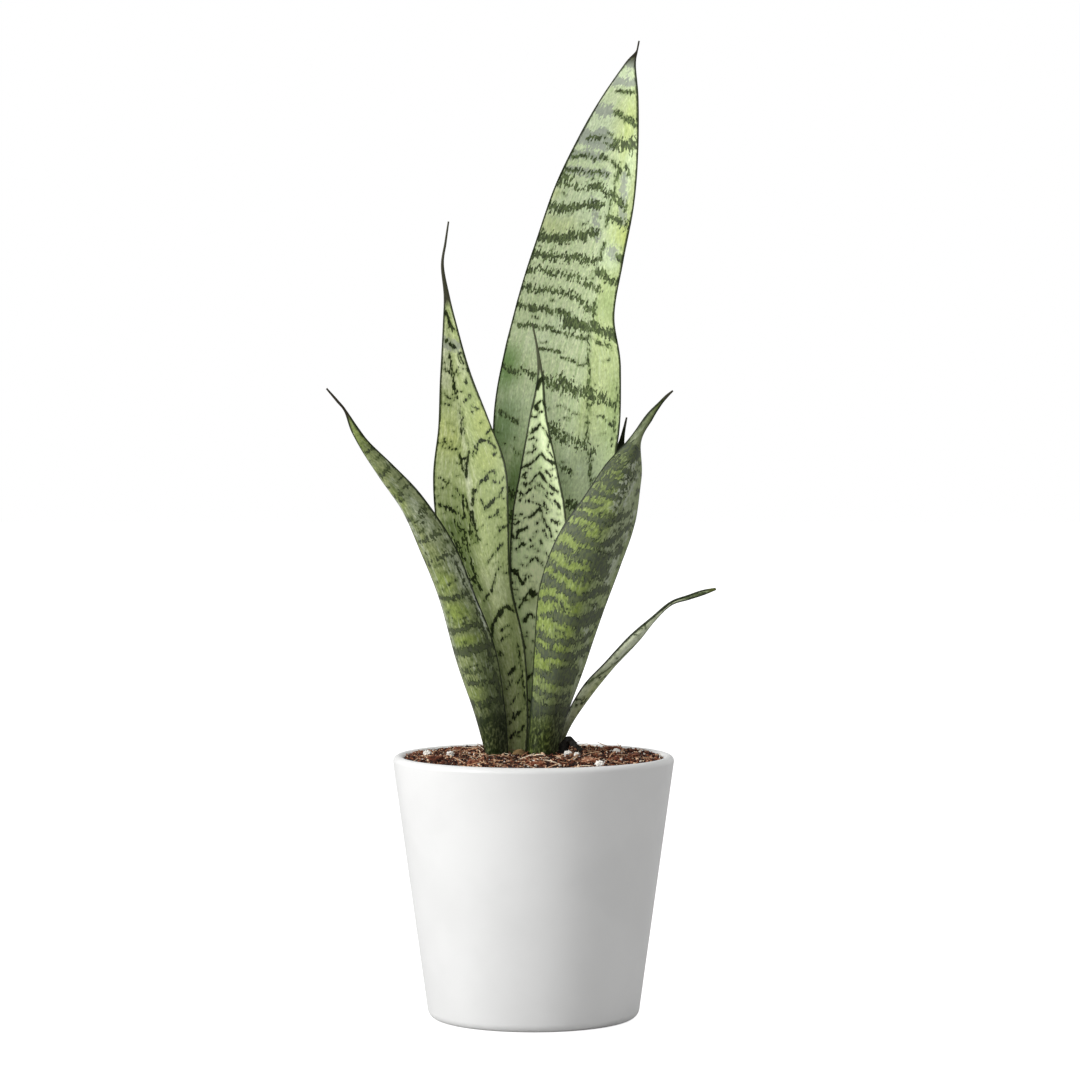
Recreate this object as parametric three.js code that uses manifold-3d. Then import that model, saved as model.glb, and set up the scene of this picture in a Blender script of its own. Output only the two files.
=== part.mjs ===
// Potted snake plant: a white tapered planter, a bed of bark and coir mix, seven strap leaves.
// Millimetres, +Z up, origin on the ground under the middle of the planter, -Y is the front.
import * as THREE from 'three';
import { mergeVertices } from 'three/addons/utils/BufferGeometryUtils.js';
import Module from 'manifold-3d';

// ---- driving dimensions -------------------------------------------------------------------
const GAP = 0.3;                 // clearance between neighbouring pieces

const POT_HEIGHT = 126;          // ground to the top of the lip
const POT_TOP_RADIUS = 67.5;     // widest point, just under the lip
const POT_BASE_RADIUS = 50.3;    // side wall continued down to the ground
const POT_WALL = 5.3;
const POT_FLOOR = 8;
const LIP_DROP = 2.2;            // height over which the lip rounds over
const FOOT_ROUND = 4.5;          // radius of the rounded bottom edge
const CORNER = 6;                // radius of the corner inside, between wall and floor
const ROUND_SIDES = 60;          // sides of every turned shape

const SOIL_EDGE_Z = 124.8;       // surface of the mix at the planter wall
const SOIL_CROWN_Z = 126.6;      // surface of the mix at the foot of the clump

const LEAF_EDGE = 0.7;           // leaf thickness at its margins
const LEAF_MID = 2.2;            // leaf thickness along the middle
const LEAF_FOOT = 3.0;           // leaf thickness at the foot
const LEAF_TIP = 0.9;            // thickness of the thread-like tip

// Leaf stations, foot to tip. Each one is
// [x, y, z, width left of the crease, width right of it, turn about Z in degrees, fold in degrees]
// cup is +1 when the margins sweep back (-Y side convex), -1 when they sweep forward.
const LEAVES = {
  leaf_tall: {
    cup: -1, crisp: 0.3, bow: 8, rows: 30, columns: 8,
    stations: [
      [-6.5, 16, 117.5, 6, 9.5, 0, 40], [-4.5, 19, 156, 10, 13.5, 2, 40],
      [1, 26, 199.5, 20.5, 20.5, 5, 36], [10.5, 32, 243, 34, 24, 8, 30],
      [18.5, 38, 282, 41.5, 24, 8, 26], [24.5, 41, 313.5, 41.5, 19, 7, 24],
      [27.5, 42, 338, 38.5, 12.5, 6, 26], [32, 42, 365.5, 34, 12.5, 4, 28],
      [36.5, 40, 394, 28.5, 13.5, 2, 30], [41.5, 36, 420.5, 20.5, 10.5, -2, 32],
      [46, 32, 443, 12, 5.5, -6, 32], [48.5, 29, 458, 4.5, 1.1, -8, 26],
      [50, 28, 464.5, 0.6, 0.4, 0, 8], [51, 28, 469.5, 0.4, 0.4, 0, 0],
    ],
  },
  leaf_left_upright: {
    cup: -1, crisp: 0.3, bow: 6, rows: 28, columns: 8,
    stations: [
      [-9, 4, 119, 4, 6.5, -8, 60], [-8.5, 4, 145.5, 7, 7.2, -8, 56],
      [-12.5, 4, 176.5, 13.5, 10, -10, 50], [-18, 5, 205.5, 19, 9, -10, 46],
      [-25.5, 8, 234, 21, 15.5, -6, 40], [-30, 11, 260.5, 19, 18.5, -4, 36],
      [-33.5, 14, 284.5, 13, 13, -2, 36], [-37, 17, 308.5, 8.5, 7, 0, 36],
      [-40.5, 18, 332.5, 3.5, 3.5, 3, 36], [-42.5, 19, 346.5, 0.9, 2, 5, 24],
      [-44, 19, 361, 0.7, 0.8, 0, 0], [-42.5, 19, 372, 0.5, 0.6, 0, 0],
      [-41, 19, 382, 0.4, 0.4, 0, 0],
    ],
  },
  leaf_centre: {
    cup: -1, crisp: 0.25, bow: 6, rows: 24, columns: 8,
    stations: [
      [-1, 10, 118, 5, 6, 0, 50], [-0.5, 11, 152, 6.5, 8, 0, 48],
      [1, 13, 183, 10.5, 11, 0, 44], [3, 16, 212, 15, 13, 0, 40],
      [3.5, 18, 238.5, 14.5, 13.5, 0, 38], [3.5, 20, 262.5, 10.5, 9, 0, 40],
      [3.5, 20, 287, 6, 3.5, 0, 40], [3.5, 20, 306, 2, 1.5, 0, 24],
      [2, 20, 319.5, 0.7, 0.7, 0, 0], [-0.5, 20, 332.5, 0.4, 0.4, 0, 0],
    ],
  },
  leaf_left_outer: {
    cup: 1, crisp: 0.3, bow: 10, rows: 26, columns: 8,
    stations: [
      [-18, -7, 120, 4, 7, -14, 70], [-23, -10, 146.5, 7.5, 10.8, -16, 70],
      [-30, -15, 175.5, 11.5, 13, -18, 66], [-38, -20, 202, 9.5, 11, -20, 60],
      [-47.5, -25, 226, 9, 10.5, -22, 56], [-58.5, -30, 245, 4.5, 9, -24, 52],
      [-70, -35, 260.5, 3, 7, -24, 50], [-79, -39, 273.5, 2, 4, -22, 40],
      [-83, -41, 282.5, 2.5, 1.5, -10, 20], [-87.5, -42, 291, 0.9, 0.4, 0, 0],
      [-91.5, -43, 296, 0.8, 0.4, 0, 0], [-96.5, -43, 301.5, 0.4, 0.4, 0, 0],
    ],
  },
  leaf_right_dark: {
    cup: 1, crisp: 0.2, bow: 8, rows: 26, columns: 8,
    stations: [
      [5, -6, 120, 9, 6.5, 8, 60], [7.5, -9, 146.5, 9.7, 12, 10, 60],
      [14, -13, 175.5, 14.5, 18, 14, 60], [21, -16, 199.5, 20, 20, 16, 62],
      [28.5, -18, 221, 20.5, 22, 18, 64], [37, -20, 242, 16, 21.5, 22, 66],
      [44, -20, 261.5, 11, 15.5, 26, 66], [49, -19, 276.5, 4, 3, 22, 50],
      [55, -18, 288, 2, 2, 14, 24], [60, -18, 294.5, 1, 1, 8, 10],
      [63, -18, 298, 0.6, 0.9, 0, 0], [66, -18, 300.5, 0.4, 0.4, 0, 0],
    ],
  },
  leaf_right_low: {
    cup: 1, crisp: 0.35, bow: 4, rows: 20, columns: 6,
    stations: [
      [8, 9, 119.5, 1.5, 3.5, 20, 40], [14.5, 8, 138.5, 1.5, 4, 24, 46],
      [25, 4, 156.5, 2.5, 6, 30, 50], [35.5, 2, 169, 2, 5.5, 36, 50],
      [47.5, 0, 181.5, 2.5, 5, 40, 44], [57, -1, 191, 1.5, 2, 40, 36],
      [65.5, -3, 199, 0.8, 1.5, 36, 26], [74, -4, 202, 1.1, 1.5, 30, 16],
      [81, -5, 204, 1.5, 1.1, 20, 6], [87, -6, 206, 0.6, 0.6, 10, 0],
    ],
  },
  leaf_back: {
    cup: -1, crisp: 0.3, bow: 6, rows: 18, columns: 6,
    stations: [
      [3, 24, 118, 2.5, 5, 10, 50], [12, 26, 151, 4.5, 5.5, 10, 40],
      [25.5, 34, 194, 5.5, 6, 10, 36], [35.5, 40, 233, 5.5, 5, 10, 34],
      [41, 42, 262.5, 4, 3.5, 8, 30], [43, 43, 277, 0.9, 1.5, 4, 10],
      [45.5, 43, 287.5, 0.4, 0.4, 0, 0],
    ],
  },
};

// A dried scrap of old sheath lying against the foot of the clump.
const SHEATH = {
  cup: 1, crisp: 0.5, bow: 24, rows: 8, columns: 6,
  stations: [
    [13.5, -3, 125.6, 1.8, 2.6, 20, 40], [15.5, -2.5, 131, 2.8, 3, 36, 50],
    [18.5, -3, 132.6, 2.4, 2.4, 50, 50], [23, -4.5, 128.4, 1, 1, 60, 20],
  ],
};

// Loose pieces lying on the mix: [x, y, length, width, height, turn in degrees, lean in degrees]
const BARK_CHIPS = [
  [-46, -20, 9, 5, 3.2, 20, 8], [-36, 26, 8, 5, 3, 75, -6], [-28, -41, 8, 4.5, 3, 130, 10],
  [2, -48, 9, 5, 3, 12, -8], [27, -34, 10, 6, 3.4, 155, 6], [48, -6, 8, 5, 3, 60, -10],
  [38, 28, 9, 5, 3.2, 35, 8], [-4, 46, 9, 5, 3, 100, -5],
];
const PERLITE_GRAINS = [
  [-51, 4, 2.3], [-40, -4, 2.1], [16.4, -8.5, 2.2], [20.6, -9.5, 1.7], [31, -48, 2.6], [40, 12, 2],
];
const KNOB = { x: -6.7, y: -6.6, z: 126.1, rx: 3.9, ry: 3.2, rz: 3.4 };

// ---- helpers ------------------------------------------------------------------------------
const wasm = await Module();
wasm.setup();

const radians = (degrees) => degrees * Math.PI / 180;

// Keeps only positions, so that coincident corners merge into one.
function bare(geometry) {
  const plain = new THREE.BufferGeometry();
  plain.setAttribute('position', geometry.getAttribute('position').clone());
  if (geometry.index) plain.setIndex(geometry.index.clone());
  return mergeVertices(plain, 1e-4);
}

function toSolid(geometry) {
  const plain = bare(geometry);
  return new wasm.Manifold(new wasm.Mesh({
    numProp: 3,
    vertProperties: new Float32Array(plain.getAttribute('position').array),
    triVerts: new Uint32Array(plain.index.array),
  }));
}

function fromSolid(solid) {
  const mesh = solid.getMesh();
  const geometry = new THREE.BufferGeometry();
  geometry.setAttribute('position', new THREE.BufferAttribute(new Float32Array(mesh.vertProperties), 3));
  geometry.setIndex(new THREE.BufferAttribute(new Uint32Array(mesh.triVerts), 1));
  return geometry;
}

function piece(name, geometry, colour, roughness, metalness = 0) {
  if (!geometry.getAttribute('normal')) geometry.computeVertexNormals();
  const material = new THREE.MeshStandardMaterial({ color: colour, roughness, metalness });
  material.name = `${name}_finish`;
  const mesh = new THREE.Mesh(geometry, material);
  mesh.name = name;
  return mesh;
}

// Smooth curve through rows of numbers, ends mirrored.
function through(rows, t) {
  const last = rows.length - 1;
  const s = Math.min(t * last, last - 1e-9);
  const i = Math.floor(s);
  const f = s - i;
  const at = (k, j) => {
    if (k < 0) return 2 * rows[0][j] - rows[1][j];
    if (k > last) return 2 * rows[last][j] - rows[last - 1][j];
    return rows[k][j];
  };
  return rows[0].map((_, j) => {
    const [a, b, c, d] = [at(i - 1, j), at(i, j), at(i + 1, j), at(i + 2, j)];
    const [m1, m2] = [(c - a) / 2, (d - b) / 2];
    return (2 * b - 2 * c + m1 + m2) * f ** 3 + (3 * c - 3 * b - 2 * m1 - m2) * f ** 2 + m1 * f + b;
  });
}

// One cross-section of a leaf: points of the middle surface and their outward normals.
function crossSection(leaf, t, columns, grow) {
  const [x, y, z, left, right, turn, fold] = through(leaf.stations, t);
  const ahead = through(leaf.stations, Math.min(1, t + 0.004));
  const behind = through(leaf.stations, Math.max(0, t - 0.004));
  const along = new THREE.Vector3(ahead[0] - behind[0], ahead[1] - behind[1], ahead[2] - behind[2]);
  along.normalize();
  const face = new THREE.Vector3(Math.sin(radians(turn)), -Math.cos(radians(turn)), 0);
  const side = new THREE.Vector3().crossVectors(along, face).normalize();
  const out = new THREE.Vector3().crossVectors(side, along);
  const bend = (u) => radians(fold) / 2 * Math.tanh(u / leaf.crisp) + radians(leaf.bow) * u;
  const walk = (u) => {          // distance across and depth, added up from the crease outwards
    const steps = 12;
    const width = (u < 0 ? Math.max(left, 0.4) : Math.max(right, 0.4)) + grow;
    let [a, b] = [0, 0];
    for (let k = 0; k < steps; k++) {
      const angle = bend(u * (k + 0.5) / steps);
      a += Math.cos(angle) * width * u / steps;
      b += Math.sin(angle) * width * u / steps;
    }
    return [a, b];
  };
  const points = [];
  for (let k = 0; k <= columns; k++) {
    const u = -1 + 2 * k / columns;
    const [a, b] = walk(u);
    const angle = bend(u) * leaf.cup;
    const centre = new THREE.Vector3(x, y, z).addScaledVector(side, a).addScaledVector(out, -b * leaf.cup);
    const normal = out.clone().multiplyScalar(Math.cos(angle)).addScaledVector(side, Math.sin(angle));
    points.push({ u, centre, normal });
  }
  return { points, span: left + right };
}

// A closed leaf: a front and a back skin a lens-shaped thickness apart, joined round the margin.
function leafGeometry(leaf, grow = 0, sink = 0) {
  const { rows, columns } = leaf;
  const front = [];
  const back = [];
  for (let i = 0; i <= rows; i++) {
    const t = i / rows;
    const { points, span } = crossSection(leaf, t, columns, grow);
    const middle = Math.min(LEAF_FOOT + (LEAF_MID - LEAF_FOOT) * Math.min(1, t * 2.5), LEAF_TIP + span * 0.12);
    for (const { u, centre, normal } of points) {
      const edge = Math.min(LEAF_EDGE, middle);
      const half = (edge + (middle - edge) * (1 - u * u)) / 2 + grow;
      if (i === 0) centre.z -= sink;
      front.push(centre.clone().addScaledVector(normal, half));
      back.push(centre.clone().addScaledVector(normal, -half));
    }
  }
  const wide = columns + 1;
  const count = front.length;
  const index = [];
  const quad = (a, b, c, d) => index.push(a, b, c, a, c, d);
  for (let i = 0; i < rows; i++) {
    for (let k = 0; k < columns; k++) {
      const a = i * wide + k;
      quad(a, a + 1, a + 1 + wide, a + wide);
      quad(count + a, count + a + wide, count + a + 1 + wide, count + a + 1);
    }
    const [l, r] = [i * wide, i * wide + columns];
    quad(l, l + wide, count + l + wide, count + l);
    quad(r, count + r, count + r + wide, r + wide);
  }
  for (let k = 0; k < columns; k++) {
    const top = rows * wide + k;
    quad(k, count + k, count + k + 1, k + 1);
    quad(top, top + 1, count + top + 1, count + top);
  }
  const geometry = new THREE.BufferGeometry();
  geometry.setAttribute('position', new THREE.Float32BufferAttribute(
    [...front, ...back].flatMap((p) => [p.x, p.y, p.z]), 3));
  geometry.setIndex(index);
  return geometry;
}

function lathe(profile, segments) {
  const geometry = new THREE.LatheGeometry(profile.map(([r, z]) => new THREE.Vector2(r, z)), segments);
  geometry.rotateX(Math.PI / 2);
  return geometry;
}

const soilHeight = (x, y) => {
  const r = Math.min(1, Math.hypot(x, y) / (POT_TOP_RADIUS - POT_WALL));
  return SOIL_EDGE_Z + (SOIL_CROWN_Z - SOIL_EDGE_Z) * (1 - r * r);
};

// ---- planter ------------------------------------------------------------------------------
const TAPER = (POT_TOP_RADIUS - POT_BASE_RADIUS) / (POT_HEIGHT - LIP_DROP);
const outerRadius = (z) => POT_BASE_RADIUS + TAPER * z;
const innerRadius = (z) => outerRadius(z) - POT_WALL;

function arc(cx, cz, r, from, to, steps) {
  return Array.from({ length: steps + 1 }, (_, i) => {
    const a = radians(from + (to - from) * i / steps);
    return [cx + r * Math.cos(a), cz + r * Math.sin(a)];
  });
}

function planter() {
  const lip = POT_WALL / 2;
  const lipZ = POT_HEIGHT - lip;
  const lipX = outerRadius(lipZ) - lip;
  const foot = arc(outerRadius(FOOT_ROUND) - FOOT_ROUND, FOOT_ROUND, FOOT_ROUND, -90, -8, 5);
  const corner = arc(innerRadius(POT_FLOOR) - CORNER, POT_FLOOR + CORNER, CORNER, -8, -90, 4);
  return lathe([
    [0, 0], ...foot, ...arc(lipX, lipZ, lip, -8, 172, 8), ...corner, [0, POT_FLOOR],
  ], ROUND_SIDES);
}

// ---- potting mix --------------------------------------------------------------------------
function ellipsoid({ x, y, z, rx, ry, rz }, grow = 0, detail = 2) {
  const geometry = new THREE.IcosahedronGeometry(1, detail);
  geometry.scale(rx + grow, ry + grow, rz + grow);
  geometry.translate(x, y, z);
  return geometry;
}

function chipGeometry([x, y, length, width, height, turn, lean], index, grow = 0) {
  const geometry = new THREE.IcosahedronGeometry(1, 1);
  const position = geometry.getAttribute('position');
  for (let i = 0; i < position.count; i++) {
    const p = new THREE.Vector3().fromBufferAttribute(position, i);
    const rough = 1 + 0.12 * Math.sin(5 * p.x + 3 * index) * Math.cos(4 * p.y + index + 2 * p.z);
    const blunt = (v) => Math.sign(v) * Math.abs(v) ** 0.7;
    position.setXYZ(i,
      blunt(p.x) * rough * (length / 2 + grow),
      blunt(p.y) * rough * (width / 2 + grow),
      blunt(p.z) * rough * (height / 2 + grow));
  }
  geometry.rotateY(radians(lean));
  geometry.rotateZ(radians(turn));
  geometry.translate(x, y, soilHeight(x, y) + height * 0.12);
  return geometry;
}

const grainSpec = ([x, y, r]) => (
  { x, y, z: soilHeight(x, y) + r * 0.35, rx: r, ry: r * 0.85, rz: r * 0.8 });

function pottingMix() {
  const floor = POT_FLOOR + GAP;
  const rings = 5;
  const top = Array.from({ length: rings + 1 }, (_, i) => {
    const r = (innerRadius(SOIL_EDGE_Z) - GAP) * (1 - i / rings);
    return [r, soilHeight(r, 0)];
  });
  const corner = arc(innerRadius(floor) - CORNER, floor + CORNER, CORNER - GAP, -90, -8, 4);
  let solid = toSolid(lathe([[0, floor], ...corner, ...top], ROUND_SIDES));
  const cut = (geometry) => { solid = solid.subtract(toSolid(geometry)); };
  for (const leaf of Object.values(LEAVES)) cut(leafGeometry(leaf, GAP, 0.5));
  cut(leafGeometry(SHEATH, GAP, 0.5));
  cut(ellipsoid(KNOB, GAP));
  BARK_CHIPS.forEach((chip, i) => cut(chipGeometry(chip, i, GAP)));
  PERLITE_GRAINS.forEach((grain) => cut(ellipsoid(grainSpec(grain), GAP, 1)));
  return fromSolid(solid);
}

// ---- assembly -----------------------------------------------------------------------------
const plant = new THREE.Group();
plant.name = 'potted_snake_plant';

plant.add(piece('planter', planter(), 0xeeeeec, 0.45));
plant.add(piece('potting_mix', pottingMix(), 0x5d3a28, 0.95));

const LEAF_COLOURS = {
  leaf_tall: 0x8fa06c, leaf_left_upright: 0x8e9c58, leaf_centre: 0xaab981,
  leaf_left_outer: 0x6d7a45, leaf_right_dark: 0x68753a, leaf_right_low: 0x97a37a, leaf_back: 0x4d5a3a,
};
for (const [name, leaf] of Object.entries(LEAVES)) {
  plant.add(piece(name, leafGeometry(leaf), LEAF_COLOURS[name], 0.5));
}

plant.add(piece('dried_sheath', leafGeometry(SHEATH), 0x1d1712, 0.8));
plant.add(piece('rhizome_knob', bare(ellipsoid(KNOB)), 0x7a4f33, 0.85));
BARK_CHIPS.forEach((chip, i) => {
  plant.add(piece(`bark_chip_0${i + 1}`, bare(chipGeometry(chip, i)), 0x7d4c34, 0.9));
});
PERLITE_GRAINS.forEach((grain, i) => {
  plant.add(piece(`perlite_grain_0${i + 1}`, bare(ellipsoid(grainSpec(grain), 0, 1)), 0xece6da, 0.85));
});

export default plant;
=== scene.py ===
"""Potted snake plant: seven banded strap leaves in bark mix, in a plain white tapered planter.

The shape tables are in millimetres and everything put into Blender is in metres, +Z up, with the
origin on the ground under the middle of the planter and -Y towards the front.
"""
import logging
import math
from dataclasses import dataclass, replace
from enum import Enum
from typing import Callable, Sequence

import bpy
import numpy as np
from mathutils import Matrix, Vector


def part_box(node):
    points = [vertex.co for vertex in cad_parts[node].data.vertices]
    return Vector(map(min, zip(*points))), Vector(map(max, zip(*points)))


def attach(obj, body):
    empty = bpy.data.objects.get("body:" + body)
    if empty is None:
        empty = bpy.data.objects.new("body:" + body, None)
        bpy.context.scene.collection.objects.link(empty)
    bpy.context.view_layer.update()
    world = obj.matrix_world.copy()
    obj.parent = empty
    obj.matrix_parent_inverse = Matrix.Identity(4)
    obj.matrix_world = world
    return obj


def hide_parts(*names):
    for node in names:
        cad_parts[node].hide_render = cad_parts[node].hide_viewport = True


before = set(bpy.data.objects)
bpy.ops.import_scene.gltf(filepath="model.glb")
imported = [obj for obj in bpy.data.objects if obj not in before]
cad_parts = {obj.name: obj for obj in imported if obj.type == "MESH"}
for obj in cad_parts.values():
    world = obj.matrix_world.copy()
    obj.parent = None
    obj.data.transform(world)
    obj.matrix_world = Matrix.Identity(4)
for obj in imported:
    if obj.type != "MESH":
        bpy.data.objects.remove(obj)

log = logging.getLogger("snake_plant")

MM = 0.001
BODY = "root"
TAU = 2 * np.pi
Colour = tuple[float, float, float]
Socket = bpy.types.NodeSocket


# ---- finishes -----------------------------------------------------------------------------

def srgb(red: int, green: int, blue: int) -> Colour:
    """Turn a display colour of 0 to 255 a channel into the linear colour that shaders use."""
    parts = np.array([red, green, blue]) / 255.0
    linear = np.where(parts <= 0.04045, parts / 12.92, ((parts + 0.055) / 1.055) ** 2.4)
    return tuple(float(v) for v in linear)


@dataclass(frozen=True)
class LeafFinish:
    """Colours and surface of one leaf.

    pale and deep are the two greens that blotch into each other, and wing_tone_and_sheen
    colours the right wing: the leaf's own tone there, and on the dark right leaf a painted grey
    sheen of the wing turned from the light. A dark mark has ink at its rim, heart in its middle
    and stain as its soft surround. shadow colours patches of painted shade, with some of the
    leaf's own deeper green. gold_and_light colours yellow patches, and on the centre leaf patches
    of painted light over its shaded lower half. bloom_and_highlight colours the waxy haze and wax
    patches, which also hold painted highlights along folds, creases and margins and painted light
    on the shaded lower part of the tall leaf. veil_and_highlight colours the grey marks: grey wax,
    and on the dark right leaf painted highlight along the fold. foot colours the darkened base,
    tip the dry point, and margin the dark line at the edge, drawn wide so that it also paints the
    dark shade where leaves overlap.

    The numbers are parts of full strength: wing_share of the right wing's colour, haze of the wax,
    coverage of the ink, bleed of its surround, mottle of the speckle and lace of the stain that
    breaks up the ink. tip_from is the part of the leaf's length where the dry point starts, and
    foot_height is how far the dark base reaches up, in millimetres.
    """
    pale: Colour
    deep: Colour
    wing_tone_and_sheen: Colour
    ink: Colour
    stain: Colour
    foot: Colour
    heart: Colour = srgb(60, 72, 44)
    shadow: Colour = srgb(74, 96, 48)
    gold_and_light: Colour = srgb(176, 190, 88)
    bloom_and_highlight: Colour = srgb(214, 220, 208)
    veil_and_highlight: Colour = srgb(136, 140, 136)
    tip: Colour = srgb(44, 40, 28)
    margin: Colour = srgb(22, 32, 8)
    wing_share: float = 0.5
    haze: float = 0.25
    coverage: float = 0.9
    bleed: float = 0.5
    mottle: float = 0.35
    lace: float = 0.6
    tip_from: float = 0.96
    roughness: float = 0.42
    foot_height: float = 30.0


@dataclass(frozen=True)
class PlanterFinish:
    """Satin white glaze, and the bare clay ring that it stands on."""
    glaze: Colour = srgb(229, 229, 228)
    shade: Colour = srgb(224, 224, 223)
    clay: Colour = srgb(222, 216, 205)
    roughness: float = 0.38


@dataclass(frozen=True)
class MixFinish:
    """Stops of a brown ramp that each crumb takes its own tone from, dark to light."""
    tones: tuple[tuple[float, Colour], ...]
    roughness: float = 0.88
    grain: float = 900.0


BED_FINISH = MixFinish(tones=(
    (0.0, srgb(22, 11, 7)), (0.5, srgb(52, 28, 18)), (0.85, srgb(92, 54, 36)),
    (1.0, srgb(120, 76, 52))))
GRANULE_FINISH = MixFinish(tones=(
    (0.0, srgb(14, 6, 4)), (0.25, srgb(52, 24, 15)), (0.55, srgb(122, 68, 45)),
    (0.8, srgb(172, 112, 78)), (1.0, srgb(255, 228, 192))))
FLAKE_FINISH = MixFinish(tones=(
    (0.0, srgb(30, 13, 8)), (0.35, srgb(100, 54, 37)), (0.7, srgb(160, 104, 76)),
    (1.0, srgb(246, 212, 178))))
STRAND_FINISH = MixFinish(tones=(
    (0.0, srgb(150, 98, 70)), (0.5, srgb(224, 182, 142)), (1.0, srgb(255, 242, 218))))
PERLITE_FINISH = MixFinish(roughness=0.8, tones=(
    (0.0, srgb(214, 202, 184)), (0.5, srgb(244, 240, 230)), (1.0, srgb(252, 250, 246))))
RHIZOME_FINISH = MixFinish(roughness=0.7, tones=(
    (0.0, srgb(70, 54, 32)), (0.5, srgb(116, 92, 58)), (1.0, srgb(152, 126, 84))))
SHEATH_FINISH = MixFinish(roughness=0.62, tones=(
    (0.0, srgb(14, 13, 11)), (0.7, srgb(34, 30, 25)), (1.0, srgb(86, 78, 64))))



# ---- shader building ----------------------------------------------------------------------

class Graph:
    """Short forms for adding and joining shader nodes in one node tree."""

    def __init__(self, tree: bpy.types.NodeTree) -> None:
        """Keep the tree that nodes are added to."""
        self.tree = tree

    def add(self, kind: str, **settings: object) -> bpy.types.Node:
        """Add a node of a type and set its properties."""
        node = self.tree.nodes.new(kind)
        for name, value in settings.items():
            setattr(node, name, value)
        return node

    def feed(self, target: Socket, source: object) -> None:
        """Link a socket into target, or set target's value if source is a plain value."""
        if isinstance(source, bpy.types.NodeSocket):
            self.tree.links.new(source, target)
        elif target.type == "RGBA" and len(source) == 3:
            target.default_value = (*source, 1.0)
        else:
            target.default_value = source

    def maths(self, operation: str, *inputs: object) -> Socket:
        """Apply a Math node's operation to values or sockets."""
        node = self.add("ShaderNodeMath", operation=operation)
        for target, source in zip(node.inputs, inputs):
            self.feed(target, source)
        return node.outputs[0]

    def stretch(self, vector: Socket, scale: Sequence[float]) -> Socket:
        """Multiply a vector by three factors."""
        node = self.add("ShaderNodeVectorMath", operation="MULTIPLY")
        self.feed(node.inputs[0], vector)
        node.inputs[1].default_value = scale
        return node.outputs[0]

    def noise(self, vector: Socket, scale: float, detail: float, rough: float = 0.5) -> Socket:
        """Smooth noise of 0 to 1.

        Args:
            vector: the place it is read at.
            scale: swings in a unit of the vector.
            detail: how many finer layers are added.
            rough: how strong each finer layer is.

        Returns:
            The noise.
        """
        node = self.add("ShaderNodeTexNoise")
        self.feed(node.inputs["Vector"], vector)
        node.inputs["Scale"].default_value = scale
        node.inputs["Detail"].default_value = detail
        node.inputs["Roughness"].default_value = rough
        return node.outputs[0]

    def grain(self, blade: Socket, across: float, along: float, detail: float,
              rough: float = 0.5) -> Socket:
        """Noise on a leaf, with so many swings a millimetre across the blade and along it."""
        return self.noise(self.stretch(blade, (across, along, 1.0)), 1.0, detail, rough)

    def ease(self, value: object, low: float, high: float, start: float = 0.0,
             end: float = 1.0) -> Socket:
        """Go smoothly from start to end as value goes from low to high.

        Args:
            value: the socket that is read.
            low: its value at the start.
            high: its value at the end.
            start: what comes out at low and below.
            end: what comes out at high and above.

        Returns:
            The eased socket.
        """
        node = self.add("ShaderNodeMapRange", interpolation_type="SMOOTHSTEP")
        inputs = {"Value": value, "From Min": low, "From Max": high, "To Min": start, "To Max": end}
        for name, source in inputs.items():
            self.feed(node.inputs[name], source)
        return node.outputs[0]

    def weigh(self, base: object, *terms: tuple[Socket, float]) -> Socket:
        """Add to a base each of some sockets times its weight."""
        for source, weight in terms:
            base = self.maths("ADD", base, self.maths("MULTIPLY", source, weight))
        return base

    def mix(self, factor: object, first: object, second: object, blend: str = "MIX") -> Socket:
        """Mix two colours."""
        node = self.add("ShaderNodeMix", data_type="RGBA", blend_type=blend)
        self.feed(node.inputs[0], factor)
        self.feed(node.inputs[6], first)
        self.feed(node.inputs[7], second)
        return node.outputs[2]

    def ramp(self, value: Socket, stops: Sequence[tuple[float, Colour]]) -> Socket:
        """Colour a value by stops of position and colour."""
        node = self.add("ShaderNodeValToRGB")
        elements = node.color_ramp.elements
        while len(elements) < len(stops):
            elements.new(0.5)
        for element, (position, colour) in zip(elements, stops):
            element.position = position
            element.color = (*colour, 1.0)
        self.feed(node.inputs[0], value)
        return node.outputs[0]

    def split(self, vector: Socket) -> tuple[Socket, Socket, Socket]:
        """Take a vector's three parts."""
        node = self.add("ShaderNodeSeparateXYZ")
        self.feed(node.inputs[0], vector)
        return tuple(node.outputs)

    def attribute(self, name: str) -> bpy.types.Node:
        """Read a mesh attribute."""
        return self.add("ShaderNodeAttribute", attribute_name=name)

    def group(self, tree: bpy.types.NodeTree, **inputs: object) -> bpy.types.Node:
        """Place a node group and feed its named inputs."""
        node = self.add("ShaderNodeGroup", node_tree=tree)
        for name, source in inputs.items():
            self.feed(node.inputs[name], source)
        return node

    def bump(self, height: Socket, strength: float, distance: float) -> Socket:
        """Turn a height into a normal."""
        node = self.add("ShaderNodeBump")
        node.inputs["Strength"].default_value = strength
        node.inputs["Distance"].default_value = distance
        self.feed(node.inputs["Height"], height)
        return node.outputs[0]


def new_group(name: str, inputs: Sequence[tuple[str, str]], outputs: Sequence[tuple[str, str]],
              body: Callable[[Graph, bpy.types.Node], dict[str, Socket]]) -> bpy.types.NodeTree:
    """Build a shader node group once.

    Args:
        name: name of the group.
        inputs: name and socket type of each input.
        outputs: name and socket type of each output.
        body: adds the nodes, given the graph and the input node, and returns a socket per output.

    Returns:
        The finished node tree.
    """
    tree = bpy.data.node_groups.new(name, "ShaderNodeTree")
    for label, kind in inputs:
        tree.interface.new_socket(label, in_out="INPUT", socket_type=kind)
    for label, kind in outputs:
        tree.interface.new_socket(label, in_out="OUTPUT", socket_type=kind)
    graph = Graph(tree)
    made = body(graph, graph.add("NodeGroupInput"))
    end = graph.add("NodeGroupOutput")
    for label, _ in outputs:
        graph.feed(end.inputs[label], made[label])
    return tree


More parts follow.
